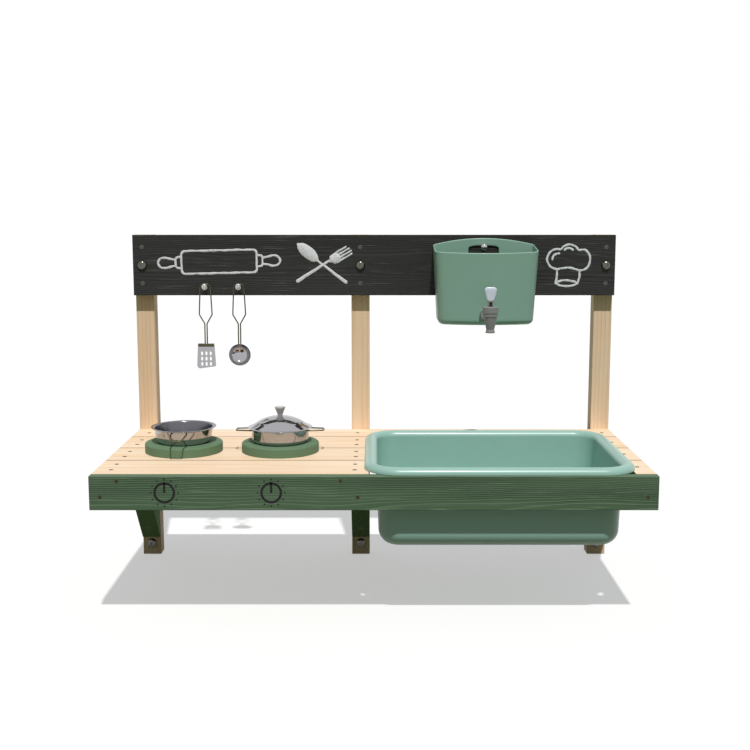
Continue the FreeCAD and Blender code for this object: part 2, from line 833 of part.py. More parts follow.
def pan():
    """A shallow dish of sheet metal: a rounded base, a slanting wall and a flared rim."""
    rise = "pan_height - pan_rim_height"
    dish = turned("pan_dish", [
        ("0", "0"),
        ("pan_base_radius - pan_base_round", "0", "left", "pan_base_round"),
        ("pan_base_radius", "pan_base_round"),
        ("pan_top_radius", rise),
        ("pan_rim_radius", "pan_height - sheet_metal"),
        ("pan_rim_radius", "pan_height"),
        ("pan_top_radius - sheet_metal", f"{rise} + sheet_metal"),
        ("pan_base_radius - sheet_metal", "pan_base_round", "right", "pan_base_round - sheet_metal"),
        ("pan_base_radius - pan_base_round", "sheet_metal"),
        ("0", "sheet_metal")], WIDE_SIDES)
    place(dish, HOB_MIDDLES["left_hob_disc"], "hob_y", "hob_top_z")
    level = "hob_top_z + pan_height - handle_drop - sheet_metal"
    root = "pan_top_radius - handle_root"
    for label, side, turn in (("pan_front_handle", "-", 0), ("pan_back_handle", "+", 180)):
        place_wire(wire_handle(label, "pan_handle_reach"), HOB_MIDDLES["left_hob_disc"],
                   f"hob_y {side} ({root})", level, turn, size("pan_handle_tilt"))


def pot():
    """A straight-sided pot of sheet metal with a flat rim for its lid."""
    dish = turned("pot_dish", [
        ("0", "0"),
        ("pot_radius - pot_base_round", "0", "left", "pot_base_round"),
        ("pot_radius", "pot_base_round"),
        ("pot_radius", "pot_height - sheet_metal"),
        ("pot_rim_radius", "pot_height - sheet_metal"),
        ("pot_rim_radius", "pot_height"),
        ("pot_bore_radius", "pot_height"),
        ("pot_bore_radius", "pot_base_round", "right", "pot_base_round - sheet_metal"),
        ("pot_radius - pot_base_round", "sheet_metal"),
        ("0", "sheet_metal")], WIDE_SIDES)
    place(dish, HOB_MIDDLES["right_hob_disc"], "hob_y", "hob_top_z")
    level = "hob_top_z + pot_height - handle_drop"
    root = "pot_radius - handle_root"
    for label, side, turn in (("pot_left_handle", "-", 270), ("pot_right_handle", "+", 90)):
        place_wire(wire_handle(label, "pot_handle_reach"),
                   f"{HOB_MIDDLES['right_hob_disc']} {side} ({root})", "hob_y", level, turn, 0)


def lid():
    """A domed lid with a step that drops inside the pot, a knob and the screw that holds it."""
    cover = turned("pot_lid", [
        ("lid_screw_radius", "lid_rise", "right", "lid_inner_sphere"),
        ("lid_dome_radius", "-lid_step"),
        ("lid_step_radius", "-lid_step"),
        ("lid_step_radius", "0"),
        ("lid_radius", "0"),
        ("lid_radius", "sheet_metal"),
        ("lid_step_radius - sheet_metal", "sheet_metal"),
        ("lid_step_radius - sheet_metal", "-lid_step + sheet_metal"),
        ("lid_dome_radius", "-lid_step + sheet_metal", "left", "lid_sphere"),
        ("lid_screw_radius", "knob_seat")], WIDE_SIDES, steps=4)
    knob = turned("lid_knob", [
        ("lid_screw_radius", "0"),
        ("knob_neck_radius", "0"),
        ("knob_radius", "knob_height - knob_rim"),
        ("knob_radius", "knob_height"),
        ("0", "knob_height"),
        ("0", "knob_screw_depth"),
        ("lid_screw_radius", "knob_screw_depth")], SMALL_SIDES)
    screw = turned("lid_screw", [
        ("0", "-sheet_metal"),
        ("2 * lid_screw_radius", "-sheet_metal"),
        ("2 * lid_screw_radius", "0"),
        ("lid_screw_radius", "0"),
        ("lid_screw_radius", "sheet_metal + knob_screw_depth"),
        ("0", "sheet_metal + knob_screw_depth")], SMALL_SIDES)
    middle = HOB_MIDDLES["right_hob_disc"]
    rim = "hob_top_z + pot_height"
    place(cover, middle, "hob_y", rim)
    place(knob, middle, "hob_y", f"{rim} + knob_seat")
    place(screw, middle, "hob_y", f"{rim} + lid_rise")


def bent_wire(label, corners, bends, radius):
    """Wire in flat facets, along straight runs with a few short steps round each bend."""
    route = [corners[0]]
    for before, corner, after, bend in zip(corners, corners[1:], corners[2:], bends):
        back = (before - corner).normalize()
        ahead = (after - corner).normalize()
        half = back.getAngle(ahead) / 2
        centre = corner + (back + ahead).normalize() * (bend / math.sin(half))
        start = corner + back * (bend / math.tan(half)) - centre
        finish = corner + ahead * (bend / math.tan(half)) - centre
        for step in range(BEND_STEPS + 1):
            turn = math.pi - 2 * half
            share = step / BEND_STEPS
            spoke = start * math.sin((1 - share) * turn) + finish * math.sin(share * turn)
            route.append(centre + spoke / math.sin(turn))
    route.append(corners[-1])

    normal = (corners[1] - corners[0]).cross(corners[2] - corners[1]).normalize()
    rings = []
    for index, point in enumerate(route):
        into = (point - route[index - 1]).normalize() if index else None
        out = (route[index + 1] - point).normalize() if index + 1 < len(route) else None
        along = (into or out) + (out or into)
        sideways = normal.cross(along.normalize())
        stretch = 1 / sideways.dot(normal.cross(into or out))
        turns = [2 * math.pi * (side + HALF) / WIRE_SIDES for side in range(WIRE_SIDES)]
        across, up = sideways * (radius * stretch), normal * radius
        rings.append([point + across * math.cos(turn) + up * math.sin(turn) for turn in turns])
    faces = [facet(rings[0]), facet(rings[-1])]
    for low, high in zip(rings, rings[1:]):
        for side in range(WIRE_SIDES):
            after = (side + 1) % WIRE_SIDES
            faces.append(facet([low[side], low[after], high[after], high[side]]))
    return add_shape(label, upright_solid(faces))


def wire_handle(label, reach):
    """A loop of wire that stands out towards the front, narrower at its far end."""
    root, end = size("handle_width") / 2, size("handle_end_width") / 2
    out = -size(reach)
    points = [FreeCAD.Vector(-root, 0, 0), FreeCAD.Vector(-end, out, 0),
              FreeCAD.Vector(end, out, 0), FreeCAD.Vector(root, 0, 0)]
    return bent_wire(label, points, [size("handle_bend")] * 2, size("handle_wire_radius"))


def place_wire(wire, x, y, z, turn, tilt):
    """Turns a handle about the upright axis after tilting its far end down, then moves it."""
    tipped = FreeCAD.Rotation(FreeCAD.Vector(1, 0, 0), tilt)
    turned_round = FreeCAD.Rotation(FreeCAD.Vector(0, 0, 1), turn)
    place_at = FreeCAD.Vector(number(x), number(y), number(z))
    wire.Placement = FreeCAD.Placement(place_at, turned_round.multiply(tipped))


def pegs():
    """Ball-headed pegs set in the chalkboard, pointing to the front."""
    utensil_reach, tank_reach = "utensil_peg_reach", "tank_peg_reach"
    for label, reach, x, z in (
            ("spatula_peg", utensil_reach, "-spatula_x", "utensil_peg_z"),
            ("ladle_peg", utensil_reach, "-spatula_x + utensil_spacing", "utensil_peg_z"),
            ("tank_peg", tank_reach, "basin_centre_x", "tank_peg_z")):
        peg = turned(label, [
            ("0", "-peg_depth"),
            ("peg_radius", "-peg_depth"),
            ("peg_radius", f"{reach} - peg_ball_shoulder", "left", "peg_ball_radius"),
            ("peg_ball_radius", reach, "left", "peg_ball_radius"),
            ("0", f"{reach} + peg_ball_radius")], SMALL_SIDES)
        place(peg, x, "chalkboard_y", z, axis=(1, 0, 0), angle=FACING_FRONT)


def utensil_wire(label, x):
    """A loop that hangs over its peg, narrows to a neck and runs down as two wires side by side."""
    crown, drop = size("hang_crown"), -size("utensil_wire_drop")
    half = [(size("neck_half_width"), drop), (size("neck_half_width"), -size("neck_drop")),
            (size("belly_half_width"), -size("belly_drop")), (size("arch_half_width"), crown)]
    points = [FreeCAD.Vector(-across, 0, up) for across, up in half]
    points += [FreeCAD.Vector(across, 0, up) for across, up in reversed(half)]
    bends = [size("neck_bend"), size("belly_bend"), size("arch_bend")]
    wire = bent_wire(label, points, bends + bends[::-1], size("utensil_wire_radius"))
    wire.Placement = FreeCAD.Placement(
        FreeCAD.Vector(number(x), size("utensil_y"), size("utensil_peg_z")), FreeCAD.Rotation())


def spatula():
    """The spatula: wire handle and a flat blade with nine slots and a slanting end."""
    utensil_wire("spatula_wire", "-spatula_x")
    blade = new_body("spatula_blade")
    outline = new_sketch(blade, "blade_outline", "XZ_Plane")
    draw_outline(outline, [
        ("-blade_top_width / 2", "-blade_top_drop"),
        ("-blade_foot_width / 2", "-blade_long_side + blade_corner", "left", "blade_corner"),
        ("-blade_foot_width / 2 + blade_corner", "-blade_long_side"),
        ("blade_foot_width / 2", "-blade_short_side"),
        ("blade_top_width / 2", "-blade_top_drop")])
    pad(blade, outline, "blade_thickness")
    slots = new_sketch(blade, "blade_slots", "XZ_Plane")
    half, straight, end = "blade_hole_width / 2", "blade_hole_straight / 2", "blade_hole_height / 2"
    for column in range(3):
        for row in range(3):
            x = f"{column - 1} * blade_hole_pitch_across"
            z = f"-blade_first_hole_drop - {row} * blade_hole_pitch_down"
            draw_outline(slots, [
                (x, f"{z} - {end}"),
                (f"{x} + {half}", f"{z} - {straight}"),
                (f"{x} + {half}", f"{z} + {straight}"),
                (x, f"{z} + {end}"),
                (f"{x} - {half}", f"{z} + {straight}"),
                (f"{x} - {half}", f"{z} - {straight}")])
    pocket(blade, slots, "2 * blade_thickness + 2 * overrun", both_ways=True)
    place(blade, "-spatula_x", "blade_y", "utensil_peg_z")


def ladle():
    """The ladle: wire handle and a round bowl that faces the front."""
    middle = "-spatula_x + utensil_spacing"
    utensil_wire("ladle_wire", middle)
    bowl = turned("ladle_bowl", [
        ("0", "-ladle_depth", "left", "ladle_sphere"),
        ("ladle_radius", "0"),
        ("ladle_radius - ladle_wall", "0", "right", "ladle_sphere - ladle_wall"),
        ("0", "-ladle_depth + ladle_wall")], MIDDLE_SIDES, steps=4)
    place(bowl, middle, "blade_y", "utensil_peg_z - ladle_bowl_drop", axis=(1, 0, 0), angle=FACING_FRONT)


def tub_ring(inset, height):
    """The rim's rounded rectangle, set in by inset, with each corner in a few straight steps."""
    half_width, half_depth = size("tub_rim_width") / 2 - inset, size("tub_rim_depth") / 2 - inset
    corner = size("tub_corner") - inset
    points = []
    for quarter, (side_x, side_y) in enumerate(((1, 1), (-1, 1), (-1, -1), (1, -1))):
        for step in range(CORNER_STEPS + 1):
            turn = math.pi / 2 * (quarter + step / CORNER_STEPS)
            points.append(FreeCAD.Vector(
                side_x * (half_width - corner) + corner * math.cos(turn),
                side_y * (half_depth - corner) + corner * math.sin(turn),
                height))
    return points


def tub():
    """A moulded tub that hangs by its rolled rim: one profile, in from the rim's edge, carried round."""
    outer, inner = "tub_rim_overhang", "tub_rim_overhang + tub_wall"
    top, ceiling = "tub_depth + tub_rim_height", "tub_depth + tub_rim_height - tub_wall"
    rings = [tub_ring(point.x, point.y) for point in profile_points([
        (f"{outer} + tub_taper + tub_base_round", "0", "right", "tub_base_round"),
        (f"{outer} + tub_taper", "tub_base_round"),
        (outer, "tub_depth"),
        (outer, ceiling),
        ("tub_rim_round", ceiling, "left", "tub_rim_round - tub_wall"),
        ("tub_wall", f"{top} - tub_rim_round"),
        ("tub_wall", "tub_depth"),
        ("0", "tub_depth"),
        ("0", f"{top} - tub_rim_round", "right", "tub_rim_round"),
        ("tub_rim_round", top),
        (f"{inner} - tub_rim_round", top, "right", "tub_rim_round"),
        (inner, f"{top} - tub_rim_round"),
        (inner, "tub_depth"),
        (f"{inner} + tub_taper", "tub_base_round", "left", "tub_base_round - tub_wall"),
        (f"{outer} + tub_taper + tub_base_round", "tub_wall")], BEND_STEPS)]
    faces = [facet(rings[0]), facet(rings[-1])]
    for low, high in zip(rings, rings[1:]):
        for side in range(len(low)):
            after = (side + 1) % len(low)
            faces.append(facet([low[side], low[after], high[after], high[side]]))
    body = add_shape("tub", upright_solid(faces))
    place(body, "basin_centre_x", "tub_centre_y", "worktop_z - tub_depth")


def draw_tank_outline(sketch, inset):
    """The tank's base: a flat back, straight sides and a bowed front, all set in by inset."""
    half = f"(tank_base_width / 2 - {inset})"
    bow = f"(tank_base_bow - {inset})"
    side = f"(tank_base_depth - tank_base_bow + sqrt({bow} ^ 2 - {half} ^ 2))"
    back = "0" if inset == "0" else f"-{inset}"
    draw_outline(sketch, [
        (f"-{half}", f"-{side}", "left", bow),
        (half, f"-{side}"),
        (half, back),
        (f"-{half}", back)])


def tank_form(label, inset, corner, bevel, export):
    """A block that widens upwards, set in from the tank's outside and raised by inset."""
    body = new_body(label, export)
    base = new_sketch(body, f"{label}_base", "XY_Plane", inset)
    draw_tank_outline(base, inset)
    pad(body, base, "tank_arch_height")
    starts = upright(inset)
    draft(body, lambda face: starts(face) and faces_sideways(face), "tank_side_draft")
    draft(body, lambda face: starts(face) and not is_flat(face), "tank_front_draft")
    front, corners, low = -number("tank_base_side") / 2, rising(inset), at_height(inset)
    chamfer(body, lambda edge: corners(edge) and edge.CenterOfMass.y < front, corner)
    chamfer(body, lambda edge: low(edge) and edge.CenterOfMass.y < front / 2, bevel)
    return body


def water_tank():
    """A moulded tank: flat back with an arched top and a hanging slot, sloping mouth and bowed front."""
    body = tank_form("water_tank", "0", "tank_corner_bevel", "tank_base_bevel", True)
    core = tank_form("tank_core", "tank_wall", "tank_corner_bevel - tank_bevel_step",
                     "tank_base_bevel - tank_bevel_step", False)
    carve(body, core)
    mouth = new_sketch(body, "tank_mouth_slope_cut", "YZ_Plane")
    far = "-(tank_depth + overrun)"
    draw_outline(mouth, [
        ("-tank_wall", "tank_back_height - tank_wall * tank_mouth_slope"),
        ("-tank_wall", "tank_arch_height + overrun"),
        (far, "tank_arch_height + overrun"),
        (far, f"tank_back_height + {far} * tank_mouth_slope")])
    pocket(body, mouth, "tank_width + overrun", both_ways=True)

    arch = new_sketch(body, "tank_arch_cut", "XZ_Plane")
    edge = "tank_width / 2 + overrun"
    draw_outline(arch, [
        ("-tank_width / 2", "tank_back_height", "right", "tank_arch_radius"),
        ("tank_width / 2", "tank_back_height"),
        (edge, "tank_back_height"),
        (edge, "tank_arch_height + overrun"),
        (f"-({edge})", "tank_arch_height + overrun"),
        (f"-({edge})", "tank_back_height")])
    pocket(body, arch, "2 * tank_depth", both_ways=True)

    slot = new_sketch(body, "tank_slot", "XZ_Plane")
    top, low = "slot_rise - slot_bow", "slot_rise - slot_height"
    draw_outline(slot, [
        ("-slot_shoulder", low),
        ("slot_shoulder", low, "left", "slot_corner"),
        ("slot_width / 2", f"{low} + slot_corner"),
        ("slot_width / 2", f"{top} - slot_corner", "left", "slot_corner"),
        ("slot_shoulder", top, "left", "slot_top_radius"),
        ("-slot_shoulder", top, "left", "slot_corner"),
        ("-slot_width / 2", f"{top} - slot_corner"),
        ("-slot_width / 2", f"{low} + slot_corner", "left", "slot_corner")])
    pocket(body, slot, "4 * tank_wall", both_ways=True)

    boss = new_sketch(body, "tap_boss", "XZ_Plane", "tap_boss_inner_face")
    draw_circle(boss, "0", "tap_rise", "tap_boss_radius")
    pad(body, boss, "tap_boss_length")
    hole = new_sketch(body, "tap_hole", "XZ_Plane", "tap_boss_face + overrun")
    draw_circle(hole, "0", "tap_rise", "tap_thread_radius + tap_thread_fit")
    pocket(body, hole, "tap_boss_length + 2 * overrun")
    place(body, "basin_centre_x", "tank_y", "tank_z")


def tap_body():
    """The tap's body: a column that narrows to a flared spout, and an inlet that runs back into the tank."""
    column = round_form([
        ("tap_outlet_radius", "-tap_lip_drop"),
        ("tap_lip_radius", "-tap_lip_drop"),
        ("tap_spout_radius", "-tap_spout_drop"),
        ("tap_waist_radius", "-tap_waist_drop"),
        ("tap_body_radius", "tap_body_top - tap_cap_top"),
        ("tap_body_radius", "tap_body_top"),
        ("tap_chamber_radius", "tap_body_top"),
        ("tap_chamber_radius", "-tap_seat_drop"),
        ("tap_outlet_radius", "-tap_seat_drop")], MIDDLE_SIDES)
    root = "(tap_chamber_radius + tap_waist_radius) / 2"
    flange_end = "tap_reach - tap_boss_face - tap_seal_thickness"
    end = "tap_reach - tap_boss_inner_face + tap_thread_reach"
    inlet = round_form([
        ("tap_bore_radius", root),
        ("tap_thread_radius", root),
        ("tap_thread_radius", f"{flange_end} - tap_flange_thickness"),
        ("tap_flange_radius", f"{flange_end} - tap_flange_thickness"),
        ("tap_flange_radius", flange_end),
        ("tap_thread_radius", flange_end),
        ("tap_thread_radius", end),
        ("tap_bore_radius", end)], MIDDLE_SIDES)
    bore = round_form(rod_profile("tap_bore_radius", "0", end), MIDDLE_SIDES)
    backwards = FreeCAD.Rotation(FreeCAD.Vector(1, 0, 0), -90)
    for piece in (inlet, bore):
        piece.Placement = FreeCAD.Placement(FreeCAD.Vector(), backwards)
    place(add_shape("tap_body", column.cut(bore).fuse(inlet)), "basin_centre_x", "tap_y", "tap_z")


def tap_fittings():
    """The screwed cap, the two seals about the tank's wall and the nut inside the tank."""
    cap = turned("tap_cap", [
        ("tap_chamber_radius", "0"),
        ("tap_cap_radius", "0"),
        ("tap_cap_radius", "tap_cap_height"),
        ("tap_cap_bore_radius", "tap_cap_height"),
        ("tap_cap_bore_radius", "tap_cap_height - tap_cap_top"),
        ("tap_chamber_radius", "tap_cap_height - tap_cap_top")], MIDDLE_SIDES)
    place(cap, "basin_centre_x", "tap_y", "tap_cap_z")

    inner_y = "tank_y - tap_boss_inner_face"
    thread_hole = "tap_thread_radius + tap_thread_fit"
    for label, y in (("outer_tap_seal", "tap_flange_y"), ("inner_tap_seal", inner_y)):
        profile = ring_profile(thread_hole, "tap_flange_radius", "tap_seal_thickness")
        seal = turned(label, profile, MIDDLE_SIDES)
        place(seal, "basin_centre_x", y, "tap_z", axis=(1, 0, 0), angle=FACING_BACK)

    block = round_form(rod_profile("tap_nut_flats / sqrt(3)", "0", "tap_nut_thickness"), NUT_SIDES)
    hole = round_form(rod_profile(thread_hole, "-overrun", "tap_nut_thickness + overrun"), MIDDLE_SIDES)
    nut = add_shape("tap_nut", block.cut(hole))
    place(nut, "basin_centre_x", f"{inner_y} + tap_seal_thickness", "tap_z",
          axis=(1, 0, 0), angle=FACING_BACK)


def rod_profile(radius, low, high):
    return [("0", low), (radius, low), (radius, high), ("0", high)]


def ring_profile(bore, radius, height):
    return [(bore, "0"), (radius, "0"), (radius, height), (bore, height)]


def tap_valve():
    """The valve: a rod that rises through the cap, the soft seal on its foot and the lever's pin."""
    top = "tap_pin_z - tap_seat_z + tap_rod_end / 2"
    rod = new_body("valve_rod")
    section = new_sketch(rod, "rod_section", "XY_Plane", "tap_seal_lip")
    draw_circle(section, "0", "0", "tap_rod_radius")
    pad(rod, section, f"{top} - tap_seal_lip")
    cross = new_sketch(rod, "rod_pin_hole", "YZ_Plane")
    draw_circle(cross, "0", "tap_pin_z - tap_seat_z", "tap_pin_radius + tap_pin_fit")
    pocket(rod, cross, "2 * tap_rod_radius + 2 * overrun", both_ways=True)
    place(rod, "basin_centre_x", "tap_y", "tap_seat_z")

    seal = turned("valve_seal", rod_profile("tap_seal_radius", "0", "tap_seal_lip"), MIDDLE_SIDES)
    place(seal, "basin_centre_x", "tap_y", "tap_seat_z")

    pin = new_body("lever_pin")
    section = new_sketch(pin, "pin_section", "YZ_Plane")
    draw_circle(section, "0", "0", "tap_pin_radius")
    pad(pin, section, "lever_foot_width", both_ways=True)
    place(pin, "basin_centre_x", "tap_y", "tap_pin_z")


def tap_lever():
    """The lever: a forked foot about the pin, which works as a cam on the cap, and a flared paddle."""
    body = new_body("tap_lever")
    foot = new_sketch(body, "lever_foot", "XZ_Plane")
    draw_rectangle(foot, "-lever_foot_width / 2", "lever_foot_gap - tap_pin_rise",
                   "lever_foot_width / 2", "lever_neck_rise")
    pad(body, foot, "lever_foot_depth", both_ways=True)
    paddle = new_sketch(body, "lever_paddle", "XZ_Plane")
    corner = "(lever_height - lever_top_rise)"
    draw_outline(paddle, [
        ("-lever_foot_width / 2", "0"),
        ("lever_foot_width / 2", "0"),
        ("lever_neck_width / 2", "lever_neck_rise"),
        ("lever_top_width / 2", "lever_top_rise", "left", corner),
        (f"lever_top_width / 2 - {corner}", "lever_height"),
        (f"-lever_top_width / 2 + {corner}", "lever_height", "left", corner),
        ("-lever_top_width / 2", "lever_top_rise"),
        ("-lever_neck_width / 2", "lever_neck_rise")])
    pad(body, paddle, "lever_thickness", both_ways=True)
    fork = new_sketch(body, "lever_slot", "XZ_Plane")
    draw_rectangle(fork, "-lever_slot_width / 2", "-tap_pin_rise - overrun",
                   "lever_slot_width / 2", "lever_slot_height - tap_pin_rise")
    pocket(body, fork, "lever_foot_depth + 2 * overrun", both_ways=True)
    hole = new_sketch(body, "lever_pin_hole", "YZ_Plane")
    draw_circle(hole, "0", "0", "tap_pin_radius + tap_pin_fit")
    pocket(body, hole, "lever_foot_width + 2 * overrun", both_ways=True)
    place(body, "basin_centre_x", "tap_y", "tap_pin_z")


def check_document():
    """Every object is up to date, and every sub-part is valid and closed."""
    failed = [thing.Name for thing in document.Objects if {"Invalid", "Error"} & set(thing.State)]
    for thing in exported:
        shape = thing.Shape
        if shape.isNull() or not shape.isValid() or not shape.Solids:
            failed.append(thing.Label)
    if failed:
        raise RuntimeError(f"these failed: {failed}")


def write_parts():
    os.makedirs(PARTS_FOLDER, exist_ok=True)
    for thing in exported:
        thing.Shape.exportStep(os.path.join(PARTS_FOLDER, f"{thing.Label}.step"))


fill_sheet()
posts()
chalkboard()
worktop()
brackets()
wall_bolts()
wood_screws()
hob_discs()
pan()
pot()
lid()
pegs()
spatula()
ladle()
tub()
water_tank()
tap_body()
tap_fittings()
tap_valve()
tap_lever()
document.recompute()
check_document()
write_parts()
print(f"{len(exported)} sub-parts")
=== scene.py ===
# Look of the mud kitchen: smooth moulded and turned pieces, real finishes and drawings round the fixed
# CAD frame. Lengths in this file are millimetres in the row frame: X to the right, Y towards the wall, Z up.
import math
import bmesh
import bpy
import numpy as np
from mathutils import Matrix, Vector

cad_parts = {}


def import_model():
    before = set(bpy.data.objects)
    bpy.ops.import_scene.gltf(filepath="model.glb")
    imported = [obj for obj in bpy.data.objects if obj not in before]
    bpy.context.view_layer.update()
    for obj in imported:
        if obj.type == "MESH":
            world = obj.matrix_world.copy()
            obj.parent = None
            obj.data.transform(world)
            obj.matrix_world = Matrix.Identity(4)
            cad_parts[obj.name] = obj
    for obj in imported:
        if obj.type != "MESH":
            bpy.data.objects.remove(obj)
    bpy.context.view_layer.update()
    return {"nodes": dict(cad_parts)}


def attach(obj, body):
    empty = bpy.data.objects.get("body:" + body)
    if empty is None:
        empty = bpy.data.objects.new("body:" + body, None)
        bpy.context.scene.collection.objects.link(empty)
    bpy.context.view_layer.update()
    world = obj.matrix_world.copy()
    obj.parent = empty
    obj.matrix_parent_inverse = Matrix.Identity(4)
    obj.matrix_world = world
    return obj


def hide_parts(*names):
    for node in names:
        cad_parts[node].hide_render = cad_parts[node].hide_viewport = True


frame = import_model()

MM = 0.001
WELD = 2e-6  # metres: points nearer than this are one
SHARP = math.radians(38)  # an edge that bends by more is shaded as a corner
X, Y, Z = np.eye(3)
FRONT, BACK, UP, DOWN = -Y, Y, Z, -Z

POSTS, POST_FACE = (-481.0, -28.5, 481.0), -36.0
BOARD_FACE = -55.5
FRONT_FACE = -472.0
WORKTOP = -49.5
SLAT_FRONTS = (-452.5, -341.0, -229.5)
# The slat edges beside each gap are painted darker: painted shade of the gap
GAP_PITCH, GAP_ROW = 111.5, 453.25  # the slats' gaps: their pitch, and what brings them to its multiples
GAP_FADE, GAP_END = 1.9, 2.9  # how far from a gap's middle its shade starts to fade, and where it ends
SLATS_FRONT = -430.0  # no gap lies in front of this
FLOOR = -325.0
PRINT = 0.02  # how far ink, chalk and flat screw heads stand proud of a board
WIRE = 1.38  # the bent wires' radius
HOBS, HOB_Y, HOB_TOP = (-368.5, -181.5), -254.0, -31.5
SPATULA_X, LADLE_X, PEG_Z = -349.5, -280.0, 257.5
WIRE_Y, BLADE_Y = -67.5, -68.9  # the hanging wires' middle, and the back of what is welded to their fronts
TAP_X, TAP_Y, TAP_Z = 226.5, -213.7, 205.0
PIN_Z = 232.0
TANK_Y, TANK_Z = -55.7, 183.0


# Surfaces: each is an array of rows by columns by three coordinates

def unit(vector):
    """The vector over its length."""
    return vector / np.linalg.norm(vector)


def rounded(corners, radii, steps=6, closed=False):
    """A path through the corners. Each one with a radius gives way to the arc that touches both runs."""
    corners = np.asarray(corners, float)
    path = []
    for index, radius in enumerate(radii):
        here = corners[index]
        if not radius:
            path.append(here[None])
            continue
        back = unit(corners[index - 1] - here)
        ahead = unit(corners[(index + 1) % len(corners)] - here)
        half = math.acos(np.clip(back @ ahead, -1, 1)) / 2
        centre = here + unit(back + ahead) * radius / math.sin(half)
        start = here + back * radius / math.tan(half) - centre
        finish = here + ahead * radius / math.tan(half) - centre
        turn = math.pi - 2 * half
        share = np.linspace(0, 1, steps + 1)[:, None]
        spokes = start * np.sin((1 - share) * turn) + finish * np.sin(share * turn)
        path.append(centre + spokes / math.sin(turn))
    path = np.concatenate(path)
    return np.concatenate([path, path[:1]]) if closed else path


def profile(*corners, steps=6):
    """A flat path from corners (across, up) or (across, up, radius)."""
    return rounded([c[:2] for c in corners], [c[2] if len(c) > 2 else 0 for c in corners], steps)


def smooth_curve(points, steps):
    """A curve through all the points: between two, the Catmull-Rom cubic of them and their neighbours."""
    points = np.asarray(points, float)
    ring = np.concatenate([2 * points[:1] - points[1:2], points, 2 * points[-1:] - points[-2:-1]])
    a, b, c, d = (ring[k:len(ring) - 3 + k, None] for k in range(4))
    t = np.linspace(0, 1, steps, endpoint=False)[None, :, None]
    curve = b + 0.5 * t * (c - a + t * (2 * a - 5 * b + 4 * c - d + t * (3 * (b - c) + d - a)))
    return np.concatenate([curve.reshape(-1, 2), points[-1:]])


def moved(grid, centre, axis=UP):
    """A surface made about the upright axis, stood on another axis and moved."""
    across = Y if abs(axis[0]) > 0.9 else X
    across = unit(across - (across @ axis) * axis)
    return grid @ np.array([across, np.cross(axis, across), axis]) + centre


def angles(sides):
    """The angles once round, for that many sides."""
    return np.linspace(0, 2 * math.pi, sides + 1)


def hexagon(half_width, turn):
    """The radius, at each angle, of a hexagon whose flats are half_width from its middle."""
    return half_width / np.cos((turn + math.pi / 6) % (math.pi / 3) - math.pi / 6)


def spun(radius, height, turn):
    """Points about the upright axis at each angle, whose radius and height may change from row to row."""
    return np.stack([radius * np.cos(turn), radius * np.sin(turn), height + 0 * turn], -1)


def turned(path, centre, axis=UP, sides=72):
    """Surface of revolution: each point (radius, height) of the path is carried once round the axis."""
    return moved(spun(path[:, :1], path[:, 1:], angles(sides)), centre, axis)


def tube(path, radius, normal, sides=14, flat=1.0, closed=False):
    """A round section along a flat path, with half balls at its ends. flat thins it along the normal."""
    radius = np.broadcast_to(radius, len(path))[:, None]
    if closed:
        along = np.roll(path[:-1], -1, 0) - np.roll(path[:-1], 1, 0)
        along = np.concatenate([along, along[:1]])
    else:
        along = np.gradient(path, axis=0)
    along = along / np.linalg.norm(along, axis=1, keepdims=True)
    if not closed:
        cap = np.linspace(0, math.pi / 2, 5)[:-1, None]
        first, last = radius[:1], radius[-1:]
        path = np.concatenate([path[:1] - along[:1] * first * np.cos(cap), path,
                               (path[-1:] + along[-1:] * last * np.cos(cap))[::-1]])
        radius = np.concatenate([first * np.sin(cap), radius, (last * np.sin(cap))[::-1]])
        along = np.concatenate([np.repeat(along[:1], 4, 0), along, np.repeat(along[-1:], 4, 0)])
    sideways = np.cross(normal, along)
    turn = angles(sides)[None, :, None]
    around = sideways[:, None] * np.cos(turn) + normal * np.sin(turn) * flat
    return path[:, None] + around * radius[:, :, None]


def loops(half_x, half_y, corners, steps, runs=(1, 1, 1, 1)):
    """Rounded rectangles, one for each station. corners holds the radii behind and in front. Each starts at
    its right side's back corner, and runs tell how many pieces each straight side has."""
    behind, ahead = corners
    rings, picks = [], []
    for quarter, (side_x, side_y) in enumerate(((1, 1), (-1, 1), (-1, -1), (1, -1))):
        radius = behind if side_y > 0 else ahead
        turn = math.pi / 2 * (quarter + np.linspace(0, 1, steps + 1))
        rings.append(np.stack([
            side_x * (half_x - radius)[:, None] + radius[:, None] * np.cos(turn),
            side_y * (half_y - radius)[:, None] + radius[:, None] * np.sin(turn)], -1))
        first = quarter * (steps + 1)
        picks += [first + np.arange(steps), first + steps + np.arange(runs[quarter]) / runs[quarter]]
    ring = np.concatenate(rings, 1)
    pick = np.concatenate(picks + [[0]])
    low = pick.astype(int)
    share = (pick - low)[None, :, None]
    return ring[:, low] * (1 - share) + ring[:, (low + 1) % ring.shape[1]] * share


def at_heights(rings, heights):
    """Flat loops, each at its own height."""
    return np.concatenate([rings, np.broadcast_to(heights[:, None, None], (*rings.shape[:2], 1))], 2)


def capped(grid, poles=None):
    """Closes a surface's first and last loop, each with a fan to its pole or to its own middle."""
    first, last = poles or (grid[0].mean(0), grid[-1].mean(0))
    row = grid[:1].shape
    return np.concatenate([np.broadcast_to(first, row), grid, np.broadcast_to(last, row)])


def block(low, high, edge, steps=4):
    """A box with rounded edges: rounded rectangles that shrink at its top and foot as a quarter circle."""
    low, high = np.asarray(low, float), np.asarray(high, float)
    turn = np.linspace(0, math.pi / 2, steps + 1)
    inset = edge * np.concatenate([1 - np.sin(turn), 1 - np.sin(turn[::-1])])
    height = np.concatenate([low[2] + edge * (1 - np.cos(turn)), high[2] - edge * (1 - np.cos(turn[::-1]))])
    half = (high - low) / 2
    ring = loops(half[0] - inset, half[1] - inset, (np.maximum(edge - inset, 0.01),) * 2, steps)
    return capped(at_heights(ring + (low + high)[:2] / 2, height))


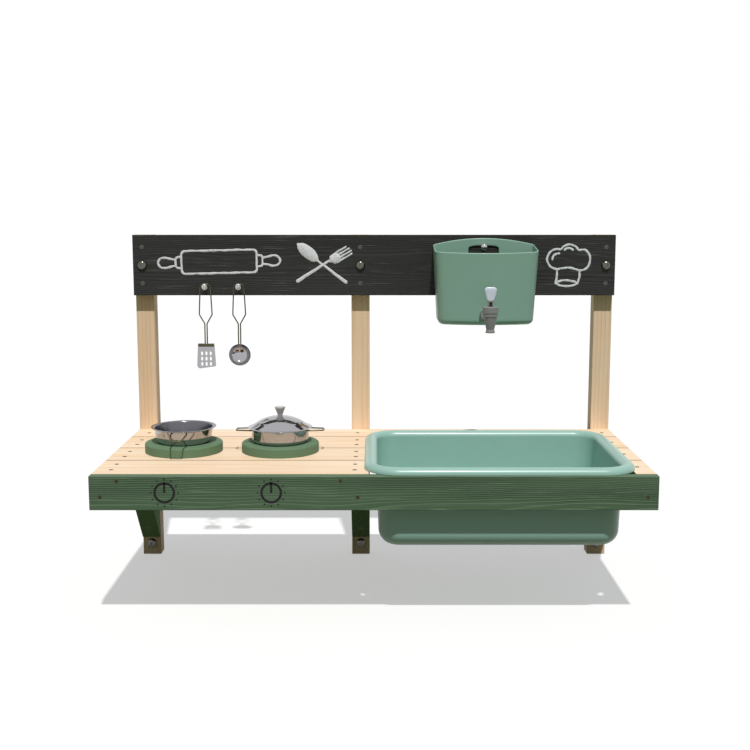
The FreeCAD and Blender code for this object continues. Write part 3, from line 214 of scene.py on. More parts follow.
def bridged(first, second, rows=3):
    """Straight rows from one edge to another with as many points."""
    share = np.linspace(0, 1, rows)[:, None, None]
    return first[None] * (1 - share) + second[None] * share


def superellipse(directions, half_x, half_y, power):
    """Where each direction from the middle meets the curve |x / a|^n + |y / b|^n = 1."""
    x, y = np.abs(directions[:, 0] / half_x), np.abs(directions[:, 1] / half_y)
    return directions[:, :2] * ((x ** power + y ** power) ** (-1 / power))[:, None]


def rectangle_edge(half_x, half_y, count):
    """Points along a rectangle's edge, count to a side, closed."""
    step = np.linspace(-1, 1, count, endpoint=False)
    sides = [np.stack([step, -1 + 0 * step], 1), np.stack([1 + 0 * step, step], 1),
             np.stack([-step, 1 + 0 * step], 1), np.stack([-1 + 0 * step, -step], 1)]
    points = np.concatenate(sides) * (half_x, half_y)
    return np.concatenate([points, points[:1]])


def piece(name, grids, body, look, replaces=(), marks=None):
    """One mesh of the object, which rides on a CAD body. Its surfaces are welded at their seams and poles."""
    vertices, quads, start = [], [], 0
    for grid in grids:
        rows, columns = grid.shape[:2]
        index = start + np.arange(rows * columns).reshape(rows, columns)
        corners = (index[:-1, :-1], index[:-1, 1:], index[1:, 1:], index[1:, :-1])
        quads.append(np.stack(corners, -1).reshape(-1, 4))
        vertices.append(grid.reshape(-1, 3))
        start += rows * columns
    mesh = bpy.data.meshes.new(name)
    mesh.from_pydata((np.concatenate(vertices) * MM).tolist(), [], np.concatenate(quads).tolist())
    if marks is not None:
        mark = mesh.attributes.new("mark", "FLOAT", "POINT")
        mark.data.foreach_set("value", np.concatenate([m.reshape(-1) for m in marks]).astype(np.float32))
    shape = bmesh.new()
    shape.from_mesh(mesh)
    bmesh.ops.remove_doubles(shape, verts=shape.verts, dist=WELD)
    bmesh.ops.recalc_face_normals(shape, faces=shape.faces)
    # The tub's folded rim misleads the recalculation. Faces that point inwards enclose a negative volume
    if shape.calc_volume(signed=True) < 0:
        bmesh.ops.reverse_faces(shape, faces=shape.faces)
    shape.to_mesh(mesh)
    shape.free()
    mesh.shade_smooth()
    mesh.set_sharp_from_angle(angle=SHARP)
    mesh.materials.append(look)
    made = bpy.data.objects.new(name, mesh)
    bpy.context.scene.collection.objects.link(made)
    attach(made, body)
    if replaces:
        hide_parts(*replaces)


def stand_in(node_name, grids, body, look, marks=None):
    """A piece for the CAD node that it is named after."""
    piece(f"{node_name}_look", grids, body, look, [node_name], marks)


# Materials: each pattern is sized by the real thing, in millimetres

def cells(size):
    """How many cells of that many millimetres a pattern has in a metre."""
    return 1 / (size * MM)


def linear(code):
    """An sRGB hex code as the linear colour that a shader takes."""
    values = np.array([int(code[k:k + 2], 16) for k in (1, 3, 5)]) / 255
    values = np.where(values <= 0.04045, values / 12.92, ((values + 0.055) / 1.055) ** 2.4)
    return (*values.tolist(), 1.0)


def grey(level):
    """A grey of that linear level."""
    return (level, level, level, 1.0)


def node(tree, kind, inputs, output=0, stops=(), **settings):
    """Adds a shader node and gives one of its outputs. An input takes a constant or the output that feeds it,
    and stops are a colour ramp's places and colours."""
    made = tree.nodes.new(f"ShaderNode{kind}")
    for name, value in settings.items():
        setattr(made, name, value)
    for name, value in inputs.items():
        if isinstance(value, bpy.types.NodeSocket):
            tree.links.new(value, made.inputs[name])
        else:
            made.inputs[name].default_value = value
    for index, (place, colour) in enumerate(stops):
        elements = made.color_ramp.elements
        element = elements[index] if index < 2 else elements.new(place)
        element.position = place
        element.color = colour
    return made.outputs[output]


def material(name, **constants):
    """A material with its Principled shader, whose plain values are set on its own sockets."""
    made = bpy.data.materials.new(name)
    made.use_nodes = True
    shader = made.node_tree.nodes["Principled BSDF"]
    for socket, value in constants.items():
        shader.inputs[socket.replace("_", " ")].default_value = value
    return made, made.node_tree, shader


# The turns that bring a board's length to X
AXES = {"X": (0, 0, 0), "Y": (0, 0, -math.pi / 2), "Z": (0, math.pi / 2, 0)}
# A Mix node of colours has its factor at input 0, its colours at 6 and 7, and its result at output 2
MULTIPLY = {"data_type": "RGBA", "blend_type": "MULTIPLY"}


def timber_grain(tree, axis, pith, ring, wander, seed):
    """Growth rings of a sawn board as (rings, fibres, slow). The board's length becomes the pattern's X, and
    its rings are circles about a pith line that lies off the board. A noise drawn out along the grain makes
    them wander. Fibres are drawn 2.4 mm wide, because real ones are too fine to show."""
    place = node(tree, "TexCoord", {}, "Object")
    along = node(tree, "Mapping", {"Vector": place, "Rotation": AXES[axis]})
    shifted = node(tree, "Mapping", {"Vector": along, "Location": (seed * 0.37, seed * 0.11, seed * 0.05)})
    waves = node(tree, "Mapping", {"Vector": shifted, "Scale": (cells(450), cells(90), cells(90))})
    drift = node(tree, "TexNoise", {"Vector": waves, "Scale": 1.0, "Detail": 2.0}, "Color")
    centred = node(tree, "VectorMath", {0: drift, 1: (0.5, 0.5, 0.5)}, operation="SUBTRACT")
    pushed = node(tree, "VectorMath", {0: centred, "Scale": wander * MM}, operation="SCALE")
    warped = node(tree, "VectorMath", {0: along, 1: pushed}, operation="ADD")
    about_pith = node(tree, "Mapping", {"Vector": warped, "Location": (0, -pith[0] * MM, -pith[1] * MM)})
    rings = node(tree, "TexWave", {"Vector": about_pith, "Scale": math.pi / 10 * cells(ring)}, "Fac",
                 wave_type="RINGS", rings_direction="X", wave_profile="SAW")
    fine = node(tree, "Mapping", {"Vector": shifted, "Scale": (cells(110), cells(2.4), cells(2.4))})
    fibres = node(tree, "TexNoise", {"Vector": fine, "Scale": 1.0, "Detail": 3.0, "Roughness": 0.6})
    broad = node(tree, "Mapping", {"Vector": shifted, "Scale": (cells(330), cells(36), cells(36))})
    slow = node(tree, "TexNoise", {"Vector": broad, "Scale": 1.0, "Detail": 2.0})
    return rings, fibres, slow


def pine(name, axis, pith, seed, painted_post_shade, gaps):
    """Planed pine: pale cream with thin tan latewood lines 8 mm apart, fine fibres and a dull dry face. Posts
    are given a slightly darker tone, which is painted shade on their upright faces. Where slats meet, their
    broken edges along each gap are darkened brown, which is painted shade of the gap."""
    made, tree, shader = material(name, Roughness=0.62, IOR=1.5)
    rings, fibres, slow = timber_grain(tree, axis, pith, 8.0, 16.0, seed)
    wood = node(tree, "ValToRGB", {"Fac": rings}, stops=(
        (0.0, linear("#FFEAD2")), (0.6, linear("#FEE6CB")), (0.92, linear("#F6D8B4")),
        (1.0, linear("#FEE6CC"))))
    tone = node(tree, "ValToRGB", {"Fac": slow}, stops=((0.3, linear("#F6E8D6")), (0.7, linear("#FFFFFF"))))
    wood = node(tree, "Mix", {0: 0.6, 6: wood, 7: tone}, 2, **MULTIPLY)
    wood = node(tree, "Mix", {0: 1.0, 6: wood, 7: linear(painted_post_shade)}, 2, **MULTIPLY)
    flecks = node(tree, "ValToRGB", {"Fac": fibres}, stops=((0.32, grey(0.88)), (0.5, grey(1.0))))
    wood = node(tree, "Mix", {0: 0.6, 6: wood, 7: flecks}, 2, **MULTIPLY)
    # Painted shade: slat edges along each gap are darkened brown, standing in for the shade in the gap
    if gaps:
        place = node(tree, "TexCoord", {}, "Object")
        across = node(tree, "SeparateXYZ", {"Vector": place}, "Y")
        moved_on = node(tree, "Math", {0: across, 1: GAP_ROW * MM}, operation="ADD")
        off = node(tree, "Math", {0: moved_on, 1: GAP_PITCH * MM / 2}, operation="PINGPONG")
        shade = node(tree, "MapRange", {"Value": off, "From Min": GAP_FADE * MM, "From Max": GAP_END * MM,
                                        "To Min": 0.8, "To Max": 0.0})
        behind_front = node(tree, "Math", {0: across, 1: SLATS_FRONT * MM}, operation="GREATER_THAN")
        shade = node(tree, "Math", {0: shade, 1: behind_front}, operation="MULTIPLY")
        wood = node(tree, "Mix", {0: shade, 6: wood, 7: linear("#5E4026")}, 2, data_type="RGBA")
    tree.links.new(wood, shader.inputs["Base Color"])
    relief = node(tree, "Bump", {"Height": fibres, "Distance": 0.25 * MM, "Strength": 0.5})
    tree.links.new(relief, shader.inputs["Normal"])
    return made


def painted_timber(name, axis, pith, ring, seed, colour, dark, light, depth):
    """Paint on rough timber: the soft wood is brushed out between hard ridges, so the rings stand up as
    relief, and the dry matt film is rubbed thin along single fibres."""
    made, tree, shader = material(name, Roughness=0.85, IOR=1.5)
    rings, fibres, slow = timber_grain(tree, axis, pith, ring, 30.0, seed)
    ridges = node(tree, "ValToRGB", {"Fac": rings}, stops=(
        (0.0, grey(0.0)), (0.5, grey(0.3)), (0.85, grey(1.0)), (1.0, grey(0.0))))
    worn = node(tree, "ValToRGB", {"Fac": slow}, stops=((0.35, grey(0.35)), (0.6, grey(1.0))))
    height = node(tree, "Mix", {0: 1.0, 6: ridges, 7: worn}, 2, **MULTIPLY)
    height = node(tree, "Mix", {0: 0.25, 6: height, 7: fibres}, 2, data_type="RGBA")
    raised = node(tree, "ValToRGB", {"Fac": ridges}, stops=((0.15, grey(0.0)), (0.9, grey(1.0))))
    paint = node(tree, "Mix", {0: raised, 6: linear(dark), 7: linear(colour)}, 2, data_type="RGBA")
    rubbed = node(tree, "ValToRGB", {"Fac": fibres}, stops=((0.6, grey(0.0)), (0.75, grey(0.8))))
    paint = node(tree, "Mix", {0: rubbed, 6: paint, 7: linear(light)}, 2, data_type="RGBA")
    tree.links.new(paint, shader.inputs["Base Color"])
    relief = node(tree, "Bump", {"Height": height, "Distance": depth * MM})
    tree.links.new(relief, shader.inputs["Normal"])
    return made


def moulded(name, colour, roughness, coat=0.0):
    """Moulded plastic, or thick paint or ink: an even colour, with a faint orange-peel surface of 1.1 mm
    cells that breaks up its soft shine."""
    made, tree, shader = material(name, Roughness=roughness, IOR=1.5, Coat_Weight=coat, Coat_Roughness=0.12)
    place = node(tree, "TexCoord", {}, "Object")
    patches = node(tree, "TexNoise", {"Vector": place, "Scale": cells(70), "Detail": 2.0})
    tint = node(tree, "ValToRGB", {"Fac": patches}, stops=((0.3, grey(0.97)), (0.7, grey(1.0))))
    tinted = node(tree, "Mix", {0: 1.0, 6: linear(colour), 7: tint}, 2, **MULTIPLY)
    tree.links.new(tinted, shader.inputs["Base Color"])
    peel = node(tree, "TexNoise", {"Vector": place, "Scale": cells(1.1), "Detail": 2.0})
    relief = node(tree, "Bump", {"Height": peel, "Distance": 0.02 * MM, "Strength": 0.5})
    tree.links.new(relief, shader.inputs["Normal"])
    return made


def metal(name, colour, roughness, mark_size, painted_shade_colour=None, brushed=0.0, scratches=0.01):
    """Bare metal: a tinted mirror with fine marks that blur its reflections unevenly. Where the mesh is
    marked, such as inside a dish or in a screw's cross, it has another, darker colour and is rougher by what
    brushed says. That colour is painted: a darker reflection inside a dish, shade in a screw's cross."""
    made, tree, shader = material(name, Metallic=1.0, Base_Color=linear(colour))
    place = node(tree, "TexCoord", {}, "Object")
    marks = node(tree, "TexNoise", {"Vector": place, "Scale": cells(mark_size), "Detail": 4.0,
                                    "Roughness": 0.6})
    spread = node(tree, "MapRange", {"Value": marks, "From Min": 0.3, "From Max": 0.7,
                                     "To Min": roughness * 0.7, "To Max": roughness * 1.3})
    # Painted shade and reflection: the marked places take the darker colour
    if painted_shade_colour:
        mark = node(tree, "Attribute", {}, "Fac", attribute_name="mark")
        rougher = node(tree, "Math", {0: mark, 1: brushed}, operation="MULTIPLY")
        spread = node(tree, "Math", {0: spread, 1: rougher}, operation="ADD")
        both = node(tree, "Mix", {0: mark, 6: linear(colour), 7: linear(painted_shade_colour)}, 2, data_type="RGBA")
        tree.links.new(both, shader.inputs["Base Color"])
    tree.links.new(spread, shader.inputs["Roughness"])
    relief = node(tree, "Bump", {"Height": marks, "Distance": scratches * MM, "Strength": 0.3})
    tree.links.new(relief, shader.inputs["Normal"])
    return made


def chalk():
    """White chalk: a matt powder that skips the hollows of the board, so 1.2 mm grains of grey show."""
    made, tree, shader = material("white_chalk", Roughness=0.95, IOR=1.4)
    place = node(tree, "TexCoord", {}, "Object")
    grains = node(tree, "TexNoise", {"Vector": place, "Scale": cells(1.2), "Detail": 3.0, "Roughness": 0.7})
    cover = node(tree, "ValToRGB", {"Fac": grains}, stops=((0.34, grey(0.0)), (0.5, grey(1.0))))
    powder = node(tree, "Mix", {0: cover, 6: linear("#9A9CA4"), 7: linear("#F5F7FF")}, 2, data_type="RGBA")
    tree.links.new(powder, shader.inputs["Base Color"])
    relief = node(tree, "Bump", {"Height": grains, "Distance": 0.1 * MM, "Strength": 0.5})
    tree.links.new(relief, shader.inputs["Normal"])
    return made


# Plastics shine softly, the tub most of all. Rubber, ink and hob paint hardly shine
green_plastic = moulded("pale_green_polypropylene", "#97BFB4", 0.36, 0.08)
tank_plastic = moulded("sage_green_polypropylene", "#88AE9E", 0.42, 0.1)
tap_plastic = moulded("grey_acetal_plastic", "#8B8D8D", 0.38)
lever_plastic = moulded("pale_blue_nylon", "#DDE4F6", 0.3, 0.2)
rubber = moulded("black_nitrile_rubber", "#232322", 0.75)
dial_ink = moulded("black_printing_ink", "#060705", 0.95)
hob_paint = moulded("matt_green_hob_paint", "#5F7C5E", 0.75)
# Sheet steel and ball ends mirror sharply, wire and zinc softly. Screw heads are stained or painted over
# The second colour of the steel and of the screw heads is painted: darker reflection in the dishes, shade in
# the crosses
steel = metal("polished_stainless_steel", "#A9A8AC", 0.07, 2.4, "#6E6D73", 0.14)
# Painted reflection: the wire's dark olive colour stands in for the dark surroundings it mirrors
wire_steel = metal("drawn_steel_wire", "#55523F", 0.3, 3.3)
ball_steel = metal("nickel_plated_steel", "#B4B3AF", 0.09, 5.0)
zinc = metal("galvanised_steel", "#62625B", 0.2, 3.8, scratches=0.03)
browned_zinc = metal("browned_zinc_plate", "#544A37", 0.5, 3.3, "#1E1B16")
drab_zinc = metal("drab_zinc_plate", "#4A4B38", 0.5, 3.3, "#1C1B16")
painted_zinc = metal("zinc_plate_painted_over", "#565A52", 0.6, 3.3, "#3E413A")
chalk_white = chalk()

# Boards keep their CAD meshes. Each has its own cut of the log, told by where its pith line lies
BOARDS = (
    ("left_post", "Z", (30, 22)), ("middle_post", "Z", (-26, 34)), ("right_post", "Z", (38, -30)),
    ("slat_1", "X", (-360, -140)), ("slat_2", "X", (-300, -110)), ("slat_3", "X", (-150, -150)),
    ("end_slat_1", "X", (-420, -120)), ("end_slat_2", "X", (-260, -130)), ("end_slat_3", "X", (-210, -120)),
    ("back_slat", "X", (-40, -120)), ("left_bearer", "Y", (440, -60)), ("middle_bearer", "Y", (-60, -70)),
    ("right_bearer", "Y", (-450, -60)),
)
PAINTED = (
    ("chalkboard", "X", (-90, 300), 3.4, "chalkboard_paint", "#262725", "#191918", "#767674", 1.1),
    ("front_board", "X", (-440, -120), 3.3, "front_board_paint", "#637B62", "#506A50", "#8FA588", 1.0),
    *((f"{side}_bracket", "Z", (x, -60), 6.0, "bracket_paint", "#567640", "#4A6634", "#6B855A", 0.6)
      for side, x in (("left", -450), ("middle", 0), ("right", 450))),
)


def finish_board(name, look):
    """Gives a board its own material in place of the CAD's."""
    board = frame["nodes"][name]
    board.data.materials.clear()
    board.data.materials.append(look)


for number, (name, axis, pith) in enumerate(BOARDS):
    # Painted shade: the upright posts get a slightly darker tone, so they stand darker against the worktop
    painted_post_shade = "#F3EFEB" if axis == "Z" else "#FFFFFF"
    look = pine(f"planed_pine_{number + 1}", axis, pith, 3.7 * number, painted_post_shade, "slat" in name)
    finish_board(name, look)
for number, (name, axis, pith, ring, slot, colour, dark, light, depth) in enumerate(PAINTED):
    look = painted_timber(f"painted_{name}", axis, pith, ring, 1.9 + 5.3 * number, colour, dark, light, depth)
    finish_board(name, look)


# Fasteners

def bolt(centre, shank):
    """A button-headed bolt along the wall's axis: a dome with a hexagon socket, a plain shank and a real
    helical thread, whose radius falls and rises once in each pitch of height less turn."""
    turn, spin = angles(48), angles(20)
    socket = hexagon(2.9, turn)
    dome = profile((4.2, 6.0), (7.2, 5.4, 6), (9.7, 2.0, 3), (10.0, 0.4), (10.0, 0.0), (4.0, 0.0),
                   (4.0, -shank), (3.7, -shank - 0.3), (0, -shank - 0.5), steps=8)
    radius = np.concatenate([[0 * turn, socket, socket], np.repeat(dome[:, :1], len(turn), 1)])
    head = spun(radius, np.concatenate([[3.2, 3.2, 5.8], dome[:, 1]])[:, None], turn)
    pitch, length = 1.5, 39.6
    along = np.linspace(0, length, 190)[:, None]
    tooth = np.abs((along / pitch - spin / (2 * math.pi)) % 1 - 0.5) * 2
    fade = np.clip(along / pitch, 0, 1) * np.clip((length - along) / 1.2, 0, 1)
    radius = 3.7 - 0.55 * tooth * fade - 0.6 * np.clip((along - length + 0.8) / 0.8, 0, 1)
    radius = np.concatenate([0 * spin[None], radius, 0 * spin[None]])
    height = np.concatenate([[[-0.1]], -0.3 - along, [[-0.3 - length]]]) - shank
    return [moved(grid, centre, FRONT) for grid in (head, spun(radius, height, spin))]


stand_in("wall_bolts", [grid for x in POSTS for grid in
                        bolt((x, BOARD_FACE, 300), -BOARD_FACE) + bolt((x, POST_FACE, -300), -POST_FACE)],
         "frame", zinc)


def screw_head(centre, axis, crown):
    """A countersunk head: a low dome by the square of the radius, with a cross pressed into it."""
    rim, turn = 4.2, angles(40)
    radius = np.linspace(0, rim, 15)[:, None]
    x, y = radius * np.cos(turn), radius * np.sin(turn)

    def arm(across, along):
        return np.clip((0.75 - np.abs(across)) / 0.35, 0, 1) * np.clip((2.5 - np.abs(along)) / 0.5, 0, 1)

    recess = np.maximum(arm(x, y), arm(y, x))
    height = crown * (1 - (radius / rim) ** 2) * (1 - 0.8 * recess) + PRINT
    skirt = spun(rim, -1.2, turn)[None]
    grid = np.concatenate([spun(radius, height, turn), skirt, skirt * (0, 0, 1)])
    # The cross is marked, so that it takes the metal's darker colour: painted shade in the recess
    return moved(grid, centre, axis), np.concatenate([recess, np.zeros((2, len(turn)))])


def screws(kind, heads, look=browned_zinc, crown=0.35, node_name=None):
    """The heads of one CAD node, each given by its place and axis."""
    grids, marks = zip(*(screw_head(centre, axis, crown) for centre, axis in heads))
    node_name = node_name or f"{kind}_screws"
    piece(f"{kind}_screw_heads", grids, "frame", look, [node_name], marks)


SLANT = 139 / 167  # how far a bracket's edge comes forward for each millimetre of height
SLOPE = unit(FRONT + SLANT * DOWN)  # the way a bracket's slanting edge faces
LEFT, MIDDLE, RIGHT = -472.0, -34.5, 478.0  # where slat screws stand in rows
slat_places = [(x, front + inset) for x in (LEFT, MIDDLE) for front in SLAT_FRONTS for inset in (32, 78)]
slat_places += [(RIGHT, front + 55) for front in SLAT_FRONTS] + [(x, -77.0) for x in (LEFT, MIDDLE, RIGHT)]
front_places = ((-481, -87), (-451, -58), (-28.5, -87), (-58.5, -58), (481, -87))
screws("board", [((x, BOARD_FACE, z), FRONT) for x in POSTS for z in (262.5, 337.5)], painted_zinc)
screws("slat", [((x, y, WORKTOP), UP) for x, y in slat_places])
# These heads are flat, so their crosses show only as painted shade
screws("front", [((x, FRONT_FACE, z), FRONT) for x, z in front_places], drab_zinc, 0.0, "front_board_screws")
screws("bracket", [((x, POST_FACE - 4 - 25 * SLANT, -260.5), SLOPE) for x in POSTS])
screws("hob", [((x + side, HOB_Y, -68.5), DOWN) for x in HOBS for side in (-40, 40)])
screws("bearer", [((x, 0, -87.5), BACK) for x in POSTS])

# Hobs, pan and pot
disc = profile((0, 0), (74.0, 0), (74.5, 0.5), (74.5, 18, 3.2), (0, 18), steps=8)
for name, x in zip(("left_hob_disc", "right_hob_disc"), HOBS):
    stand_in(name, [turned(disc, (x, HOB_Y, WORKTOP), sides=160)], "frame", hob_paint)


def dish(body, x, outside, inside):
    """A dish pressed from 1.2 mm sheet: a rounded foot, a slanting wall and a lip that turns out flat. Its
    inside is marked, so that the metal is brushed there and darkened: a painted darker reflection."""
    path = np.concatenate([outside, inside])
    grid = turned(path, (x, HOB_Y, HOB_TOP), sides=144)
    mark = np.repeat(np.arange(len(path)) >= len(outside), grid.shape[1]).astype(float)
    stand_in(f"{body}_dish", [grid], body, steel, [mark])


dish("pan", HOBS[0],
     profile((0, 0), (51.5, 0, 7), (56.2, 28.2, 2), (62.2, 29.2, .3), (63, 29.7, .4), (62.8, 30.4, .3),
             steps=8),
     profile((62, 30.5), (55.4, 29.6, 2.4), (50.6, 1.2, 5.8), (44, 1.4), (40, 1.2), (0, 1.2), steps=8))
dish("pot", HOBS[1],
     profile((0, 0), (55, 0, 8), (55, 27.1, 0.6), (59.0, 27.3), (59.5, 27.6, .3), (59.5, 28.3, .3),
             (59.2, 28.5), steps=8),
     profile((58, 28.5), (53.8, 28.5, .8), (53.8, 1.2, 6.8), (0, 1.2), steps=8))


def handle(centre, out, reach, tilt):
    """Bent wire: two legs that draw together towards a rounded end, in a plane tipped down by the tilt."""
    side = np.cross(UP, out)
    away = out * math.cos(tilt) - UP * math.sin(tilt)
    corners = [side * s + away * a + centre
               for s, a in ((-15, 0), (-10.5, reach), (10.5, reach), (15, 0))]
    return [tube(rounded(corners, (0, 4, 4, 0), 8), WIRE, unit(np.cross(away, side)))]


TILT = math.radians(8)
for body, side, x, y, z, out, reach, tilt in (
        ("pan", "front", HOBS[0], HOB_Y - 55.2, -6.7, FRONT, 42, TILT),
        ("pan", "back", HOBS[0], HOB_Y + 55.2, -6.7, BACK, 42, TILT),
        ("pot", "left", HOBS[1] - 54.2, HOB_Y, -7.5, -X, 30, 0),
        ("pot", "right", HOBS[1] + 54.2, HOB_Y, -7.5, X, 30, 0)):
    stand_in(f"{body}_{side}_handle", handle((x, y, z), out, reach, tilt), body, wire_steel)


def dome_arc(radius, rise, drop, thickness):
    """Points (r, h) of a sphere's cap, from its crown at rise down to the circle of that radius at drop."""
    sphere = (radius ** 2 + (rise - drop) ** 2) / (2 * (rise - drop)) - thickness
    centre = rise - thickness - sphere
    ends = math.asin(min(1.0, radius / (sphere + thickness)))
    angle = np.linspace(0.002, ends, 60)
    return np.stack([sphere * np.sin(angle), centre + sphere * np.cos(angle)], 1)


# The lid is a dome with a ledge pressed round it, and its brim sits in and on the pot
outer = dome_arc(57.5, 22.7, 1.4, 0)
outer[:, 1] -= 0.5 * np.clip((outer[:, 0] - 43.5) / 1.2, 0, 1) * np.clip((57 - outer[:, 0]) / 8, 0, 1)
inner = dome_arc(51, 22.7, -1.0, 1.2)
brim = profile((57.9, 1.2), (61.4, 1.2, .4), (62.0, 0.6, .4), (61.4, 0, .3), (53.0, 0, .3), (52.6, -2.2, .5),
               (50.8, -2.2, .4), (50.6, -1.4), steps=5)
cover = np.concatenate([[[0, 22.7]], outer[1:], brim, inner[::-1][1:], [[0, 21.5]]])
stand_in("pot_lid", [turned(cover, (HOBS[1], HOB_Y, -3.0), sides=144)], "lid", steel)
knob = profile((0, 0), (4.9, 0), (5.2, 3, 6), (10.0, 14.0, 2), (10.7, 15.4, .5), (10.7, 16.6, .9),
               (9.4, 17.3, 1), (4, 17.5), (0, 17.5), steps=8)
stand_in("lid_knob", [turned(knob, (HOBS[1], HOB_Y, 19.65), sides=80)], "lid", ball_steel)
stud = profile((0, -1.2), (4, -1.2, .4), (4, 0), (2, 0), (2, 8), (0, 8))
stand_in("lid_screw", [turned(stud, (HOBS[1], HOB_Y, 18.5), sides=32)], "lid", zinc)


# Pegs with the utensils on them

def peg_path(reach):
    """A round rod that swells by a small hollow into a ball, whose middle is at the reach."""
    ball, rod = 7.3, 2.75
    angle = np.linspace(2.72, 0, 26)
    arc = np.stack([ball * np.sin(angle), reach + ball * np.cos(angle)], 1)
    return np.concatenate([[[0, -15], [rod, -15], [rod, reach - 8.4]], arc])


for name, x, z, reach in (("spatula_peg", SPATULA_X, PEG_Z, 22), ("ladle_peg", LADLE_X, PEG_Z, 22),
                          ("tank_peg", TAP_X, 338.0, 13)):
    stand_in(name, [turned(peg_path(reach), (x, BOARD_FACE, z), FRONT, 56)], "frame",
             ball_steel)


def utensil_wire(x, foot):
    """One wire: over the peg, out to a belly, in to a neck and down in two legs."""
    half = [(2.3, foot), (2.3, -78), (13.3, -59), (10.3, 4.45)]
    points = [(x + a, WIRE_Y, PEG_Z + z) for a, z in [(-a, z) for a, z in half] + half[::-1]]
    return [tube(rounded(points, (0, 6, 7, 9, 9, 7, 6, 0), 12), WIRE, FRONT)]


for name, x, foot in (("spatula", SPATULA_X, -131), ("ladle", LADLE_X, -120.6)):
    stand_in(f"{name}_wire", utensil_wire(x, foot), name, wire_steel)


def blade():
    """A flat blade whose cells each have a stadium-like hole. From the cells' common edge, rays from their
    middle run out to the blade's outline. Front and back are the same surface 1.2 mm apart, joined along
    every edge."""
    middle = np.array([0.0, -151.0])
    corners = [(-17.25, -119), (-20, -172.5), (20, -167), (17.25, -119)]
    outline = rounded(corners, (2.5, 6.5, 3, 2.5), 10, True) - middle
    fine = np.concatenate([np.linspace(a, b, 40, endpoint=False) for a, b in zip(outline, outline[1:])])
    angle = np.arctan2(fine[:, 1], fine[:, 0])
    edge = rectangle_edge(13.5, 16.5, 45)
    far = np.interp(np.arctan2(edge[:, 1], edge[:, 0]), angle, np.hypot(*fine.T), period=2 * math.pi)
    outside = edge / np.hypot(*edge.T)[:, None] * far[:, None] + middle
    flat = [bridged(edge + middle, outside)]
    rims = [outside]
    for column in (-9, 0, 9):
        for row in (-140, -151, -162):
            cell = rectangle_edge(4.5, 5.5, 15)
            hole = superellipse(cell, 2.1, 3.9, 2.6) + (column, row)
            flat.append(bridged(cell + (column, row), hole))
            rims.append(hole)

    def stand(points, depth):
        x, z = np.moveaxis(points, -1, 0)
        return np.stack([SPATULA_X + x, BLADE_Y - depth + 0 * x, PEG_Z + z], -1)

    faces = [stand(grid, depth) for grid in flat for depth in (0, 1.2)]
    return faces + [np.stack([stand(rim, depth) for depth in (0, 0.4, 0.8, 1.2)]) for rim in rims]


stand_in("spatula_blade", blade(), "spatula", steel)
fold = block((SPATULA_X - 17.0, -70.4, PEG_Z - 126.4), (SPATULA_X + 17.0, -66.2, PEG_Z - 119.0), 1.3)
piece("spatula_fold", [fold], "spatula", wire_steel)
bowl_out, bowl_in = dome_arc(22.6, 14, 0.4, 0), dome_arc(22.6, 14, 0.4, 1.0)
lip = profile((22.8, 0.2), (23, 0, .1), (22.2, 0.1), (21.8, 0.5))
bowl = np.concatenate([[[0, 14]], bowl_out[1:], lip, bowl_in[::-1], [[0, 13]]]) * (1, -1)
stand_in("ladle_bowl", [turned(bowl, (LADLE_X, BLADE_Y, PEG_Z - 143), FRONT, 96)], "ladle",
         steel)

# Tub: one profile (inset from the rim's edge, height) carried round the rim's rounded rectangle
tub_path = profile((58, 0), (26.6, 0, 28), (21.6, 137.5, 2), (21.5, 148.8, 2.0), (3.2, 148.8, 8.6),
                   (3.2, 139.9, .8), (0, 139.6, .8), (0, 152, 11.6), (24.5, 152, 11.8), (24.6, 137, 8),
                   (29.6, 3, 25), (60, 3), steps=12)
inset, height = tub_path.T
ring = loops(244 - inset, 184.25 - inset, (np.maximum(64 - inset, 4),) * 2, 20, (8, 6, 8, 6))
tub = capped(at_heights(ring, height), ((0, 0, 0), (0, 0, 3))) + (TAP_X, -284.75, -189.0)
stand_in("tub", [tub], "tub_body", green_plastic)

# Water tank, whose slot is given by its half width, half height and the height of its middle
TANK_WALL = 3
TANK_RUNS, TANK_ARC = (96, 8, 48, 8), 8
SLOT_X, SLOT_Z, SLOT_MIDDLE = 31.5, 11.0, 147.05


def tank_loop(height, inset):
    """One loop of the tank's wall for each height. The block widens upwards. Its front is bowed by drawing
    the depth out by the parabola of the width, and its back is flat."""
    share = height / 173.5
    half = 96.5 + 9.2 * share - inset
    side = 73 + 8 * share - 2 * inset
    flat = loops(half, side / 2, (np.maximum(5 - inset, 1.5), np.maximum(15 - inset, 4)), TANK_ARC, TANK_RUNS)
    x, y = flat[..., 0], flat[..., 1] - side[:, None] / 2
    bow = 1 + 17.6 * (1 - (x / half[:, None]) ** 2) / side[:, None]
    return at_heights(np.stack([x, y * bow - inset[:, None]], -1), height)


def tank_top(grid, foot=14):
    """Moves the walls' heights above the foot, so that their edge slopes down to the front and arches over
    at the back."""
    x, y, z = np.moveaxis(grid, -1, 0)
    arch = 13.6 * (1 - (x / 106) ** 2) * np.clip((y + 9) / 5, 0, 1)
    top = 159.7 + 0.152 * y + np.maximum(arch, 0)
    return np.stack([x, y, np.where(z > foot, foot + (z - foot) * (top - foot) / (158 - foot), z)], -1)


